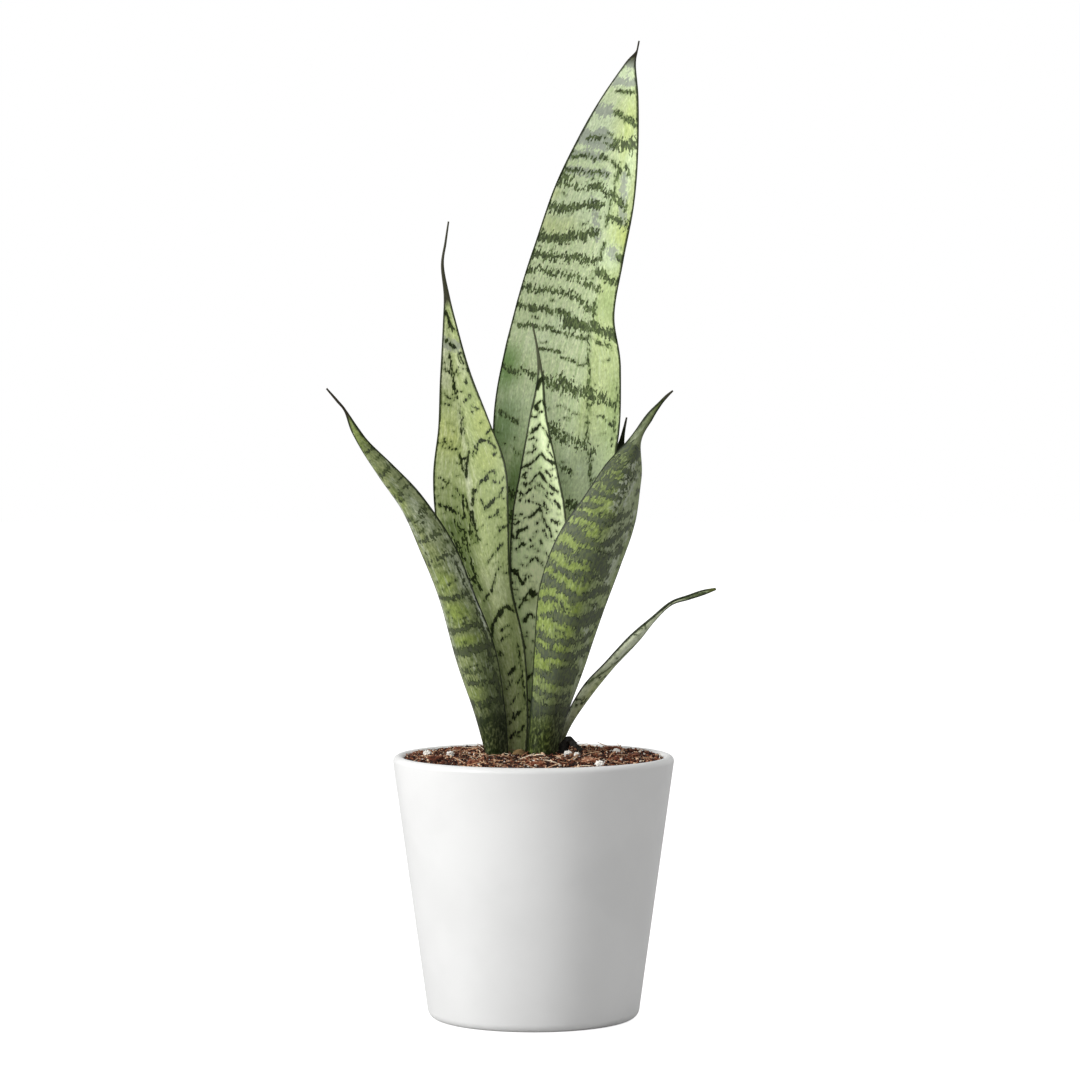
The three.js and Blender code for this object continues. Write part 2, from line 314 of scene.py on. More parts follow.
class Effects:
    """The node groups that several materials share."""

    FLOAT = "NodeSocketFloat"
    VECTOR = "NodeSocketVector"

    def __init__(self) -> None:
        """Build each group once."""
        self.frayed_mark = new_group(
            "frayed_mark", [("Blade", self.VECTOR), ("Depth", self.FLOAT), ("Fray", self.FLOAT)],
            [(label, self.FLOAT) for label in ("Core", "Halo", "Heart", "Grit")], self._frayed_mark)
        self.blade_skin = new_group(
            "blade_skin", [("Blade", self.VECTOR)],
            [(label, self.FLOAT) for label in ("Blotch", "Mottle", "Fibre", "Wax", "Height")],
            self._blade_skin)
        self.crumb_skin = new_group(
            "crumb_skin", [("Place", self.VECTOR), ("Grain", self.FLOAT)],
            [("Tone", self.FLOAT), ("Height", self.FLOAT)], self._crumb_skin)
        self.glaze_skin = new_group(
            "glaze_skin", [("Place", self.VECTOR)],
            [("Cloud", self.FLOAT), ("Height", self.FLOAT)], self._glaze_skin)

    @staticmethod
    def _frayed_mark(graph: Graph, given: bpy.types.Node) -> dict[str, Socket]:
        """Marks whose edge is torn into teeth and dots.

        Formula: the depth inside a mark, in millimetres, plus fray times the sum of a noise of
        long teeth and a noise of round dots, is dark where it is above zero. Heart is its middle,
        Halo its soft surround, and Grit a noise that breaks it up.

        Args:
            graph: adds the nodes.
            given: the group's input node.

        Returns:
            The socket for each output.
        """
        blade = given.outputs["Blade"]
        teeth = graph.maths("SUBTRACT", graph.grain(blade, across=0.55, along=0.24, detail=0.0), 0.5)
        dots = graph.maths(
            "SUBTRACT", graph.grain(blade, across=0.56, along=0.5, detail=1.0, rough=0.45), 0.5)
        grit = graph.grain(blade, across=0.5, along=0.42, detail=1.0)
        pull = graph.weigh(0.0, (teeth, 3.6), (dots, 8.5))
        torn = graph.weigh(given.outputs["Depth"], (pull, given.outputs["Fray"]))
        return {"Core": graph.ease(torn, -0.1, 0.45), "Halo": graph.ease(torn, -1.3, 0.3),
                "Heart": graph.ease(torn, 0.5, 1.5), "Grit": graph.ease(grit, 0.4, 0.62)}

    @staticmethod
    def _blade_skin(graph: Graph, given: bpy.types.Node) -> dict[str, Socket]:
        """Leaf skin: blotches, speckle, long fibres, patches of wax, and its fine ridges' height.

        Args:
            graph: adds the nodes.
            given: the group's input node.

        Returns:
            The socket for each output.
        """
        blade = given.outputs["Blade"]
        broad = graph.grain(blade, across=0.05, along=0.03, detail=3.0, rough=0.55)
        cross = graph.grain(blade, across=0.14, along=0.5, detail=2.0, rough=0.55)
        mottle = graph.grain(blade, across=0.52, along=0.46, detail=2.0, rough=0.6)
        fibre = graph.grain(blade, across=1.1, along=0.07, detail=2.0)
        wax = graph.grain(blade, across=0.16, along=0.13, detail=3.0, rough=0.6)
        pits = graph.grain(blade, across=2.6, along=1.6, detail=2.0)
        blotch = graph.weigh(0.0, (broad, 0.62), (cross, 0.38))
        return {"Blotch": graph.ease(blotch, 0.34, 0.66), "Mottle": mottle, "Fibre": fibre,
                "Wax": graph.ease(wax, 0.5, 0.72), "Height": graph.weigh(fibre, (pits, 0.35))}

    @staticmethod
    def _crumb_skin(graph: Graph, given: bpy.types.Node) -> dict[str, Socket]:
        """Rough grainy skin of bark, coir and perlite.

        Args:
            graph: adds the nodes.
            given: the group's input node.

        Returns:
            The socket for each output.
        """
        scaled = graph.add("ShaderNodeVectorMath", operation="SCALE")
        graph.feed(scaled.inputs[0], given.outputs["Place"])
        graph.feed(scaled.inputs["Scale"], given.outputs["Grain"])
        tone = graph.noise(scaled.outputs[0], 1.0, 4.0, 0.62)
        fine = graph.noise(scaled.outputs[0], 3.1, 3.0, 0.6)
        return {"Tone": graph.ease(tone, 0.3, 0.7), "Height": graph.weigh(tone, (fine, 0.5))}

    @staticmethod
    def _glaze_skin(graph: Graph, given: bpy.types.Node) -> dict[str, Socket]:
        """Slow clouding of a glaze, and its faint orange-peel surface.

        Args:
            graph: adds the nodes.
            given: the group's input node.

        Returns:
            The socket for each output.
        """
        place = given.outputs["Place"]
        cloud = graph.noise(place, 22.0, 3.0)
        swell = graph.noise(place, 60.0, 2.0)
        peel = graph.noise(place, 420.0, 2.0)
        return {"Cloud": cloud, "Height": graph.weigh(swell, (peel, 0.35))}


class Finisher:
    """Makes the materials, each with its own shader, from the shared effects.

    The constants are how strongly a leaf's fibres streak it, and how much of it is covered by
    wax patches with their painted highlights and painted light, grey marks with their painted
    highlight, the hearts of marks and the dark line at its margin, which also paints shade where
    leaves overlap, of full cover.
    """

    STREAK_COVER = 0.18
    WAX_AND_HIGHLIGHT_COVER = 0.8
    VEIL_AND_HIGHLIGHT_COVER = 0.6
    HEART_COVER = 0.8
    MARGIN_COVER = 0.94
    STREAKS = ((0.3, (0.86, 0.88, 0.84)), (0.7, (1.08, 1.08, 1.06)))
    SPECKLE = ((0.3, (0.5, 0.56, 0.42)), (0.46, (0.94, 0.95, 0.93)), (0.56, (1.04, 1.04, 1.04)),
               (0.7, (1.5, 1.46, 1.5)))

    def __init__(self) -> None:
        """Build the shared effects."""
        self.effects = Effects()

    @staticmethod
    def _start(name: str) -> tuple[bpy.types.Material, Graph, bpy.types.Node]:
        """Make an empty material with a Principled shader.

        Args:
            name: name of the material.

        Returns:
            The material, its graph and its shader.
        """
        material = bpy.data.materials.new(name)
        material.use_nodes = True
        material.node_tree.nodes.clear()
        graph = Graph(material.node_tree)
        shader = graph.add("ShaderNodeBsdfPrincipled")
        graph.feed(graph.add("ShaderNodeOutputMaterial").inputs["Surface"], shader.outputs[0])
        return material, graph, shader

    def leaf(self, name: str, finish: LeafFinish) -> bpy.types.Material:
        """Banded waxy leaf skin.

        Args:
            name: name of the material.
            finish: the leaf's colours and surface.

        Returns:
            The material. It reads the mesh attributes blade (across, along and from the margin),
            marks (depth inside a dark mark, how torn it is, depth inside a grey mark, which on the
            dark right leaf is painted highlight), tints (wax with painted highlights and painted
            light, painted shade with some deeper green, and yellow with painted light, 0 to 1), all
            but the tints in millimetres, and along (0 at the foot, 1 at the tip).
        """
        material, graph, shader = self._start(name)
        blade = graph.attribute("blade").outputs["Vector"]
        along = graph.attribute("along").outputs["Fac"]
        across, up, margin = graph.split(blade)

        def cover_with(under: object, mask: Socket, part: object, over: object) -> Socket:
            """Lay a colour over another where a mask is, no more than in part."""
            return graph.mix(graph.maths("MULTIPLY", mask, part), under, over)

        depth, tear, cover = graph.split(graph.attribute("marks").outputs["Vector"])
        # The tints: wax with painted highlights and painted light, painted shade with some deeper green,
        # and yellow with painted light on the centre leaf.
        wax, shadow, gold_and_light = graph.split(graph.attribute("tints").outputs["Vector"])
        skin = graph.group(self.effects.blade_skin, Blade=blade)
        dark = graph.group(self.effects.frayed_mark, Blade=blade, Depth=depth, Fray=tear)
        veil_and_highlight = graph.group(self.effects.frayed_mark, Blade=graph.stretch(blade, (1.2, 1.2, 1.0)),
                           Depth=cover, Fray=0.7)

        colour = graph.mix(skin.outputs["Blotch"], finish.deep, finish.pale)
        # The right wing's colour: the leaf's own tone there, and on the dark right leaf a painted grey
        # sheen.
        colour = graph.mix(graph.ease(across, 0.0, 5.0, 0.0, finish.wing_share), colour, finish.wing_tone_and_sheen)
        # Yellow patches, and on the centre leaf painted light over its shaded lower half.
        colour = graph.mix(gold_and_light, colour, finish.gold_and_light)
        # Painted shade from the shadow patches, with some of the leaf's own deeper green.
        colour = graph.mix(shadow, colour, finish.shadow)
        streaks = graph.ramp(skin.outputs["Fibre"], self.STREAKS)
        colour = graph.mix(self.STREAK_COVER, colour, streaks, "MULTIPLY")
        haze = graph.ease(skin.outputs["Wax"], 0.0, 1.0, 0.0, finish.haze)
        # Waxy haze and wax patches; the patches also hold painted highlights along folds, creases and
        # margins and painted light on shaded parts.
        colour = graph.mix(graph.weigh(haze, (wax, self.WAX_AND_HIGHLIGHT_COVER)), colour, finish.bloom_and_highlight)
        speckle = graph.ramp(skin.outputs["Mottle"], self.SPECKLE)
        colour = graph.mix(finish.mottle, colour, speckle, "MULTIPLY")
        # Grey marks: grey wax, and on the dark right leaf painted highlight along the fold.
        colour = cover_with(colour, veil_and_highlight.outputs["Halo"], self.VEIL_AND_HIGHLIGHT_COVER, finish.veil_and_highlight)
        colour = cover_with(colour, dark.outputs["Halo"], finish.bleed, finish.stain)
        ink = cover_with(finish.ink, dark.outputs["Heart"], self.HEART_COVER, finish.heart)
        ink = cover_with(ink, dark.outputs["Grit"], finish.lace, finish.stain)
        colour = cover_with(colour, dark.outputs["Core"], finish.coverage, ink)
        # The dark line at the margin: the leaf's own thin margin, drawn wide so that it also paints the
        # dark shade where leaves overlap.
        thinned = graph.ease(skin.outputs["Blotch"], 0.0, 1.0, 1.0, 0.6)
        rim = graph.ease(graph.maths("DIVIDE", margin, thinned), 0.7, 1.5, self.MARGIN_COVER, 0.0)
        colour = graph.mix(rim, colour, finish.margin)
        foot = graph.ease(up, finish.foot_height * 0.4, finish.foot_height, 1.0, 0.0)
        patchy = graph.ease(skin.outputs["Mottle"], 0.4, 0.7, 0.92, 0.55)
        colour = cover_with(colour, foot, patchy, finish.foot)
        dry = graph.ease(along, finish.tip_from, finish.tip_from + 0.02)
        graph.feed(shader.inputs["Base Color"], graph.mix(dry, colour, finish.tip))

        roughness = graph.weigh(finish.roughness - 0.06, (skin.outputs["Wax"], 0.12),
                                (skin.outputs["Blotch"], 0.06))
        graph.feed(shader.inputs["Roughness"], roughness)
        relief = graph.weigh(skin.outputs["Height"], (dark.outputs["Core"], 0.25))
        graph.feed(shader.inputs["Normal"], graph.bump(relief, 0.35, 0.0003))
        shader.inputs["Specular IOR Level"].default_value = 0.16
        return material

    def planter(self, name: str, finish: PlanterFinish) -> bpy.types.Material:
        """Satin glaze with faint clouding, bare clay underneath.

        Args:
            name: name of the material.
            finish: its colours and roughness.

        Returns:
            The material.
        """
        material, graph, shader = self._start(name)
        place = graph.add("ShaderNodeTexCoord").outputs["Object"]
        skin = graph.group(self.effects.glaze_skin, Place=place)
        colour = graph.mix(graph.ease(skin.outputs["Cloud"], 0.35, 0.65), finish.shade, finish.glaze)
        bare = graph.ease(graph.split(place)[2], 0.0002, 0.0006, 1.0, 0.0)
        speck = graph.noise(place, 700.0, 3.0, 0.6)
        clay = graph.mix(graph.ease(speck, 0.35, 0.7), finish.clay, finish.shade)
        graph.feed(shader.inputs["Base Color"], graph.mix(bare, colour, clay))
        roughness = graph.weigh(finish.roughness - 0.04, (skin.outputs["Cloud"], 0.08), (bare, 0.4))
        graph.feed(shader.inputs["Roughness"], roughness)
        graph.feed(shader.inputs["Normal"], graph.bump(skin.outputs["Height"], 0.12, 0.0006))
        return material

    def crumb(self, name: str, finish: MixFinish) -> bpy.types.Material:
        """Rough brown or white skin whose tone is each crumb's own attribute, tone.

        Args:
            name: name of the material.
            finish: its colours and roughness.

        Returns:
            The material.
        """
        material, graph, shader = self._start(name)
        place = graph.add("ShaderNodeTexCoord").outputs["Object"]
        skin = graph.group(self.effects.crumb_skin, Place=place, Grain=finish.grain)
        own = graph.attribute("tone").outputs["Fac"]
        tone = graph.weigh(own, (graph.maths("SUBTRACT", skin.outputs["Tone"], 0.5), 0.5))
        graph.feed(shader.inputs["Base Color"], graph.ramp(tone, finish.tones))
        roughness = graph.ease(skin.outputs["Tone"], 0.0, 1.0, finish.roughness, 1.0)
        graph.feed(shader.inputs["Roughness"], roughness)
        graph.feed(shader.inputs["Normal"], graph.bump(skin.outputs["Height"], 0.6, 0.0006))
        shader.inputs["Specular IOR Level"].default_value = 0.3
        return material


# ---- mesh building ------------------------------------------------------------------------

def curve_through(rows: np.ndarray, t: np.ndarray) -> np.ndarray:
    """Smooth curve through rows of numbers.

    Formula: each stretch is the cubic whose ends are two neighbouring rows and whose slopes there
    are half the step between the rows on either side, with the end rows mirrored.

    Args:
        rows: one row of numbers per station.
        t: places along the curve, 0 at the first row and 1 at the last.

    Returns:
        One interpolated row per place.
    """
    padded = np.vstack([2 * rows[0] - rows[1], rows, 2 * rows[-1] - rows[-2]])
    s = np.clip(t * (len(rows) - 1), 0, len(rows) - 1 - 1e-9)
    i = np.floor(s).astype(int)
    f = (s - i)[:, None]
    before, start, end, after = (padded[i + k] for k in range(4))
    m1, m2 = (end - before) / 2, (after - start) / 2
    return ((2 * start - 2 * end + m1 + m2) * f ** 3 + (3 * end - 3 * start - 2 * m1 - m2) * f ** 2
            + m1 * f + start)


def lumps(points: np.ndarray, size: float, seed: int) -> np.ndarray:
    """Smooth random field of about -1 to 1.

    Formula: the mean of sines along random directions, each with a wavelength near size.

    Args:
        points: coordinates, one row per point, of two or three columns.
        size: typical wavelength, in the units of points.
        seed: picks the field.

    Returns:
        One value per point.
    """
    waves = 14
    rng = np.random.default_rng(seed)
    headings = rng.normal(size=(points.shape[-1], waves))
    headings /= np.linalg.norm(headings, axis=0)
    rates = TAU / (size * rng.uniform(0.6, 1.6, waves))
    phases = rng.uniform(0, TAU, waves)
    return np.sin(points @ (headings * rates) + phases).mean(-1) * math.sqrt(waves / 2)


def unit(vectors: np.ndarray) -> np.ndarray:
    """Scale vectors to length one."""
    return vectors / np.maximum(np.linalg.norm(vectors, axis=-1, keepdims=True), 1e-12)


def travelled_along(line: np.ndarray) -> np.ndarray:
    """Distance from the first point of a line to each of its points."""
    return np.concatenate([[0], np.linalg.norm(np.diff(line, axis=0), axis=1).cumsum()])


def circle(steps: int) -> np.ndarray:
    """Angles of even steps round a circle, in radians."""
    return TAU * np.arange(steps) / steps


def turned(radius: np.ndarray, height: np.ndarray, angle: np.ndarray) -> np.ndarray:
    """Rings about the upright axis, from radii, heights and angles that spread over each other."""
    return np.stack(np.broadcast_arrays(radius * np.cos(angle), radius * np.sin(angle), height), -1)


def ring_faces(rings: int, around: int) -> tuple[np.ndarray, np.ndarray]:
    """Faces of a closed skin of rings with a pole vertex at each end.

    Args:
        rings: number of rings.
        around: vertices in each ring.

    Returns:
        The quads between rings, and the triangles at the two poles. The first pole is vertex
        rings * around and the second is the one after it.
    """
    i, k = np.meshgrid(np.arange(rings - 1), np.arange(around), indexing="ij")
    a, b = i * around + k, i * around + (k + 1) % around
    quads = np.stack([a, b, b + around, a + around], -1).reshape(-1, 4)
    k = np.arange(around)
    low = np.stack([np.full(around, rings * around), (k + 1) % around, k], -1)
    top = (rings - 1) * around
    high = np.stack([np.full(around, rings * around + 1), top + k, top + (k + 1) % around], -1)
    return quads, np.vstack([low, high])


class MeshPiece:
    """Turns arrays of points and faces into a finished piece of the plant."""

    @staticmethod
    def make(name: str, points: np.ndarray, faces: Sequence[np.ndarray],
             material: bpy.types.Material, slot: str, replaces: Sequence[str] = (),
             values: dict[str, np.ndarray] | None = None, smooth: bool = True) -> bpy.types.Object:
        """Make one object from arrays, in metres, and join it to the frame.

        Args:
            name: name of the piece.
            points: one row of x, y, z per vertex.
            faces: arrays of quads or triangles, one row per face.
            material: its material.
            slot: the record's material slot; not used.
            replaces: frame nodes it stands for.
            values: mesh attributes, one number or one row of three per vertex.
            smooth: whether the faces are shaded smooth.

        Returns:
            The new object.
        """
        mesh = bpy.data.meshes.new(name)
        listed = [face for block in faces for face in block.tolist()]
        mesh.from_pydata(points.tolist(), [], listed)
        for label, data in (values or {}).items():
            wide = data.ndim == 2
            made = mesh.attributes.new(label, "FLOAT_VECTOR" if wide else "FLOAT", "POINT")
            made.data.foreach_set("vector" if wide else "value", data.astype(np.float32).ravel())
        mesh.polygons.foreach_set("use_smooth", np.full(len(mesh.polygons), smooth))
        mesh.materials.append(material)
        mesh.update()
        piece = bpy.data.objects.new(name, mesh)
        bpy.context.scene.collection.objects.link(piece)
        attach(piece, BODY)
        if replaces:
            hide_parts(*replaces)
        log.info("%s: %d vertices, %d faces", name, len(mesh.vertices), len(mesh.polygons))
        return piece

    @staticmethod
    def outward(rings: np.ndarray) -> bool:
        """Tell which way the faces of a skin of rings point.

        Formula: the flux of position through the quads between rings.

        Args:
            rings: array of rings by vertices by 3.

        Returns:
            Whether the faces as listed point outwards.
        """
        a, b = rings[:-1], np.roll(rings[:-1], -1, axis=1)
        c, d = np.roll(rings[1:], -1, axis=1), rings[1:]
        place = (a + b + c + d) / 4 - rings.mean((0, 1))
        return np.einsum("ijk,ijk->", place, np.cross(c - a, d - b)) > 0

    @classmethod
    def from_rings(cls, name: str, rings: np.ndarray, material: bpy.types.Material, slot: str,
                   replaces: Sequence[str] = (),
                   values: dict[str, np.ndarray] | None = None) -> bpy.types.Object:
        """Make a closed skin from rings of points, with a pole at the middle of each end ring.

        Args:
            name: name of the piece.
            rings: array of rings by vertices by 3, in metres.
            material: its material.
            slot: the record's material slot, passed on to make, which does not use it.
            replaces: frame nodes it stands for.
            values: attributes per ring vertex, shaped like rings or without its last axis.

        Returns:
            The new object.
        """
        count, around = rings.shape[:2]
        quads, tips = ring_faces(count, around)
        if not cls.outward(rings):
            quads, tips = quads[:, ::-1], tips[:, ::-1]
        ends = np.stack([rings[0].mean(0), rings[-1].mean(0)])
        points = np.vstack([rings.reshape(-1, 3), ends])
        spread = {}
        for label, data in (values or {}).items():
            flat = data.reshape(count * around, -1)
            poles = np.stack([data[0].mean(0), data[-1].mean(0)]).reshape(2, -1)
            joined = np.vstack([flat, poles])
            spread[label] = joined if data.ndim == 3 else joined[:, 0]
        return cls.make(name, points, (quads, tips), material, slot, replaces, spread)


# ---- leaves -------------------------------------------------------------------------------

class Sweep(Enum):
    """Which way a leaf's margins bend from its crease."""
    BACK = 1
    FORWARD = -1


class Tint(Enum):
    """What a soft patch does to a leaf's colour."""
    # Wax patches, with painted highlights along folds, creases and margins and painted light on shaded
    # parts.
    WAX_AND_HIGHLIGHT = 0
    # Painted shade where leaves lie in each other's shade, with some of the leaf's own deeper green.
    SHADOW = 1
    # Yellow patches, and on the centre leaf painted light over its shaded lower half.
    GOLD_AND_LIGHT = 2


@dataclass(frozen=True)
class Patch:
    """A soft oval of tint on a leaf: how far across, at what height, its half sizes, strength."""
    tint: Tint
    across: float
    height: float
    wide: float
    tall: float
    strength: float


def ovals(tint: Tint, *rows: tuple[float, ...]) -> tuple[Patch, ...]:
    """Make patches of one tint, from rows of across, height, half sizes and strength."""
    return tuple(Patch(tint, *row) for row in rows)


@dataclass(frozen=True)
class Mark:
    """One mark on a leaf, a line of some thickness through points of (across, height).

    tear is how ragged it is, and veil_and_highlight tells that it is grey in place of dark green:
    grey wax, and on the dark right leaf painted highlight along the fold and painted grey sheen.
    """
    points: tuple[tuple[float, float], ...]
    thickness: float
    tear: float
    veil_and_highlight: bool = False


def strokes(*rows: tuple[float, ...], veil_and_highlight: bool = False) -> tuple[Mark, ...]:
    """Make marks from rows of numbers.

    Args:
        rows: a mark's thickness and tear, then the across and the height of each of its points.
        veil_and_highlight: whether the marks are grey: grey wax, and on the dark right leaf
        painted highlight along the fold and painted grey sheen on the right wing.

    Returns:
        One mark per row.
    """
    return tuple(Mark(tuple(zip(row[2::2], row[3::2])), row[0], row[1], veil_and_highlight) for row in rows)


def band(height: float, thickness: float, left: float = -30, right: float = 30,
         rise: float = 0.0, dip: float = 0.0, tear: float = 0.7) -> Mark:
    """Make a cross band.

    Args:
        height: where it crosses the crease.
        thickness: its thickness along the leaf.
        left: how far left it reaches, negative.
        right: how far right it reaches.
        rise: its climb to the right, in millimetres a millimetre.
        dip: its drop away from the crease on both sides, in millimetres a millimetre.
        tear: how ragged it is.

    Returns:
        The band as a mark.
    """
    left_end = (left, height + rise * left + dip * left)
    right_end = (right, height + rise * right - dip * right)
    return Mark((left_end, (0.0, height), right_end), thickness, tear)


@dataclass(frozen=True)
class Leaf:
    """One strap leaf, a lens-shaped section carried along a curved crease.

    stations run from foot to tip, in millimetres and degrees:
    (x, y, z, width left of the crease, width right of it, turn about Z, fold at the crease).
    crisp is how sharp the fold is, as a part of the width, and bow a steady bend in degrees.
    waver is how far the marks wander, bold what is added to their thickness, fray a factor on their
    tears, dashes how many small ones lie between them, and ripple the swing of the margins.

    The constants, in millimetres, are the thickness at the margins, at the crease, at the foot and
    of the finest tip, the least half width, and the length of one ripple of the margins.
    """
    name: str
    slot: str
    sweep: Sweep
    crisp: float
    bow: float
    stations: tuple[tuple[float, ...], ...]
    marks: tuple[Mark, ...]
    finish: LeafFinish
    patches: tuple[Patch, ...] = ()
    waver: float = 0.8
    bold: float = 0.0
    fray: float = 1.0
    dashes: int = 40
    ripple: float = 0.5
    rows: int = 260
    around: int = 120
    seed: int = 1

    EDGE = 0.7
    MIDDLE = 2.2
    FOOT = 3.0
    THREAD = 0.9
    NARROWEST = 0.4
    RIPPLE_LENGTH = 46

    def surface(self) -> tuple[np.ndarray, np.ndarray, np.ndarray, np.ndarray]:
        """Work out the leaf's closed skin.

        Formula: at each place along the crease, a strip bends away from the crease by half the
        fold times the hyperbolic tangent of the distance across, plus a steady bow. The skin lies
        half a thickness either side of that strip, thickest at the crease and rounded off at the
        margins, and the margins swing in and out in a slow ripple.

        Returns:
            The rings in millimetres, and for each ring vertex the part of the half width from -1
            at the left margin to 1 at the right, the distance across and the distance along, in
            millimetres.
        """
        rows = np.array(self.stations, float)
        t = np.linspace(0, 1, self.rows + 1)
        values = curve_through(rows, t)
        centre, left, right = values[:, :3], values[:, 3:4], values[:, 4:5]
        reach = 0.004
        ahead, behind = np.clip(t + reach, 0, 1), np.clip(t - reach, 0, 1)
        heading = unit((curve_through(rows, ahead) - curve_through(rows, behind))[:, :3])
        turn, fold = np.radians(values[:, 5]), np.radians(values[:, 6:7])
        face = np.stack([np.sin(turn), -np.cos(turn), np.zeros_like(turn)], -1)
        side = unit(np.cross(heading, face))
        out = np.cross(side, heading)
        length = travelled_along(centre)

        half = self.around // 2
        angle = np.pi * np.arange(half + 1) / half
        u = -np.cos(angle)
        bend = fold / 2 * np.tanh(u / self.crisp) + math.radians(self.bow) * u
        width = np.maximum(np.where(u < 0, left, right), self.NARROWEST)
        across = self._add_up(np.cos(bend) * width, u)
        deep = self._add_up(np.sin(bend) * width, u)
        phase = TAU * length[:, None] / self.RIPPLE_LENGTH + 3 * self.seed + 0.8 * u
        swing = np.sin(phase) * (0.6 + 0.4 * np.sin(phase * 0.37 + u))
        grow = np.clip(width / 12, 0, 1) * np.clip(t * 6, 0, 1)[:, None]
        deep = deep + self.ripple * grow * np.abs(u) ** 2.2 * swing

        lean = bend * self.sweep.value
        middle = (centre[:, None] + side[:, None] * across[..., None]
                  - out[:, None] * (deep * self.sweep.value)[..., None])
        normal = out[:, None] * np.cos(lean)[..., None] + side[:, None] * np.sin(lean)[..., None]
        crease = self.FOOT + (self.MIDDLE - self.FOOT) * np.minimum(1, t * 2.5)
        thick = np.minimum(crease[:, None], self.THREAD + (left + right) * 0.12)
        edge = np.minimum(self.EDGE, thick)
        bulge = np.sin(angle)
        offset = (edge * bulge ** 0.4 + (thick - edge) * bulge ** 1.7) / 2
        front = middle + normal * offset[..., None]
        back = middle - normal * offset[..., None]
        flat = np.where(u < 0, left, right) * u
        rings = np.concatenate([front, back[:, -2:0:-1]], axis=1)
        around_u = np.broadcast_to(np.concatenate([u, u[-2:0:-1]]), rings.shape[:2])
        around_a = np.concatenate([flat, flat[:, -2:0:-1]], axis=1)
        around_s = np.broadcast_to(length[:, None], rings.shape[:2])
        return rings, around_u, around_a, around_s

    @staticmethod
    def _add_up(rate: np.ndarray, u: np.ndarray) -> np.ndarray:
        """Integrate a rate across the blade by the trapezium rule, from zero at the crease."""
        steps = (rate[:, 1:] + rate[:, :-1]) / 2 * np.diff(u)
        total = np.concatenate([np.zeros((len(rate), 1)), steps.cumsum(1)], axis=1)
        return total - total[:, len(u) // 2][:, None]

    def _crease(self) -> tuple[np.ndarray, np.ndarray]:
        """Heights along the crease and the distance travelled to each, both in millimetres."""
        line = curve_through(np.array(self.stations, float), np.linspace(0, 1, 400))[:, :3]
        return np.maximum.accumulate(line[:, 2]), travelled_along(line)

    def _small_marks(self, reach: float) -> list[Mark]:
        """Scatter short flecks over the leaf.

        Args:
            reach: how far across they lie, in millimetres.

        Returns:
            One mark per fleck.
        """
        rng = np.random.default_rng(self.seed + 100)
        bottom, top = self.stations[0][2] + 8, self.stations[-4][2]
        ranges = {"across": (-reach, reach), "height": (bottom, top), "wide": (0.4, 3.5),
                  "tilt": (-0.5, 0.5), "thick": (0.2, 0.9)}
        drawn = [rng.uniform(low, high, self.dashes) for low, high in ranges.values()]
        return [Mark(((a, z), (a + wide, z + wide * tilt)), thick, 0.35)
                for a, z, wide, tilt, thick in zip(*drawn)]

    def pattern(self, a: np.ndarray, s: np.ndarray) -> tuple[np.ndarray, np.ndarray]:
        """Work out the marks and tints at each point.

        Formula: the depth inside a mark is half its thickness less the distance to its line, after
        the point has been moved by a wandering field. The deepest mark wins, and lends its tear.
        A tint is the largest of its patches, each a bell over its oval.

        Args:
            a: distance across, in millimetres.
            s: distance along, in millimetres.

        Returns:
            Rows of mark depth, tear and depth inside the grey marks, and rows of wax with painted
            highlights and painted light, painted shade with some deeper green, and yellow with
            painted light.
        """
        spots = np.stack([a, s], -1).reshape(-1, 2)
        wander = np.stack([lumps(spots, 9, self.seed + 7),
                           lumps(spots * (1, 0.8), 14, self.seed)], -1)
        moved = spots + wander * (self.waver * 0.6, self.waver)
        uneven = 1 + 0.3 * lumps(spots, 7, self.seed + 50)
        heights, travelled = self._crease()
        deepest = 5.0
        depth, cover = np.full(len(spots), -deepest), np.full(len(spots), -deepest)
        tear = np.full(len(spots), 0.5)
        for mark in (*self.marks, *self._small_marks(np.abs(a).max())):
            line = np.array([(across, np.interp(height, heights, travelled))
                             for across, height in mark.points])
            gap = np.full(len(spots), 1e9)
            for start, end in zip(line, line[1:]):
                step = end - start
                part = np.clip((moved - start) @ step / max(step @ step, 1e-9), 0, 1)
                gap = np.minimum(gap, np.linalg.norm(moved - start - part[:, None] * step, axis=1))
            inside = (mark.thickness + self.bold) / 2 * uneven - gap
            if mark.veil_and_highlight:
                cover = np.maximum(cover, inside)
            else:
                deeper = inside > depth
                depth = np.where(deeper, inside, depth)
                tear = np.where(deeper, mark.tear * self.fray, tear)
        tints = np.zeros((len(spots), len(Tint)))
        for patch in self.patches:
            middle = (patch.across, np.interp(patch.height, heights, travelled))
            reach = (((moved - middle) / (patch.wide, patch.tall)) ** 2).sum(1)
            bell, kind = patch.strength * np.exp(-reach ** 1.5), patch.tint.value
            tints[:, kind] = np.maximum(tints[:, kind], bell)
        marks = np.stack([np.clip(depth, -deepest, deepest), tear,
                          np.clip(cover, -deepest, deepest)], -1)
        return marks.reshape(*a.shape, 3), tints.reshape(*a.shape, 3)

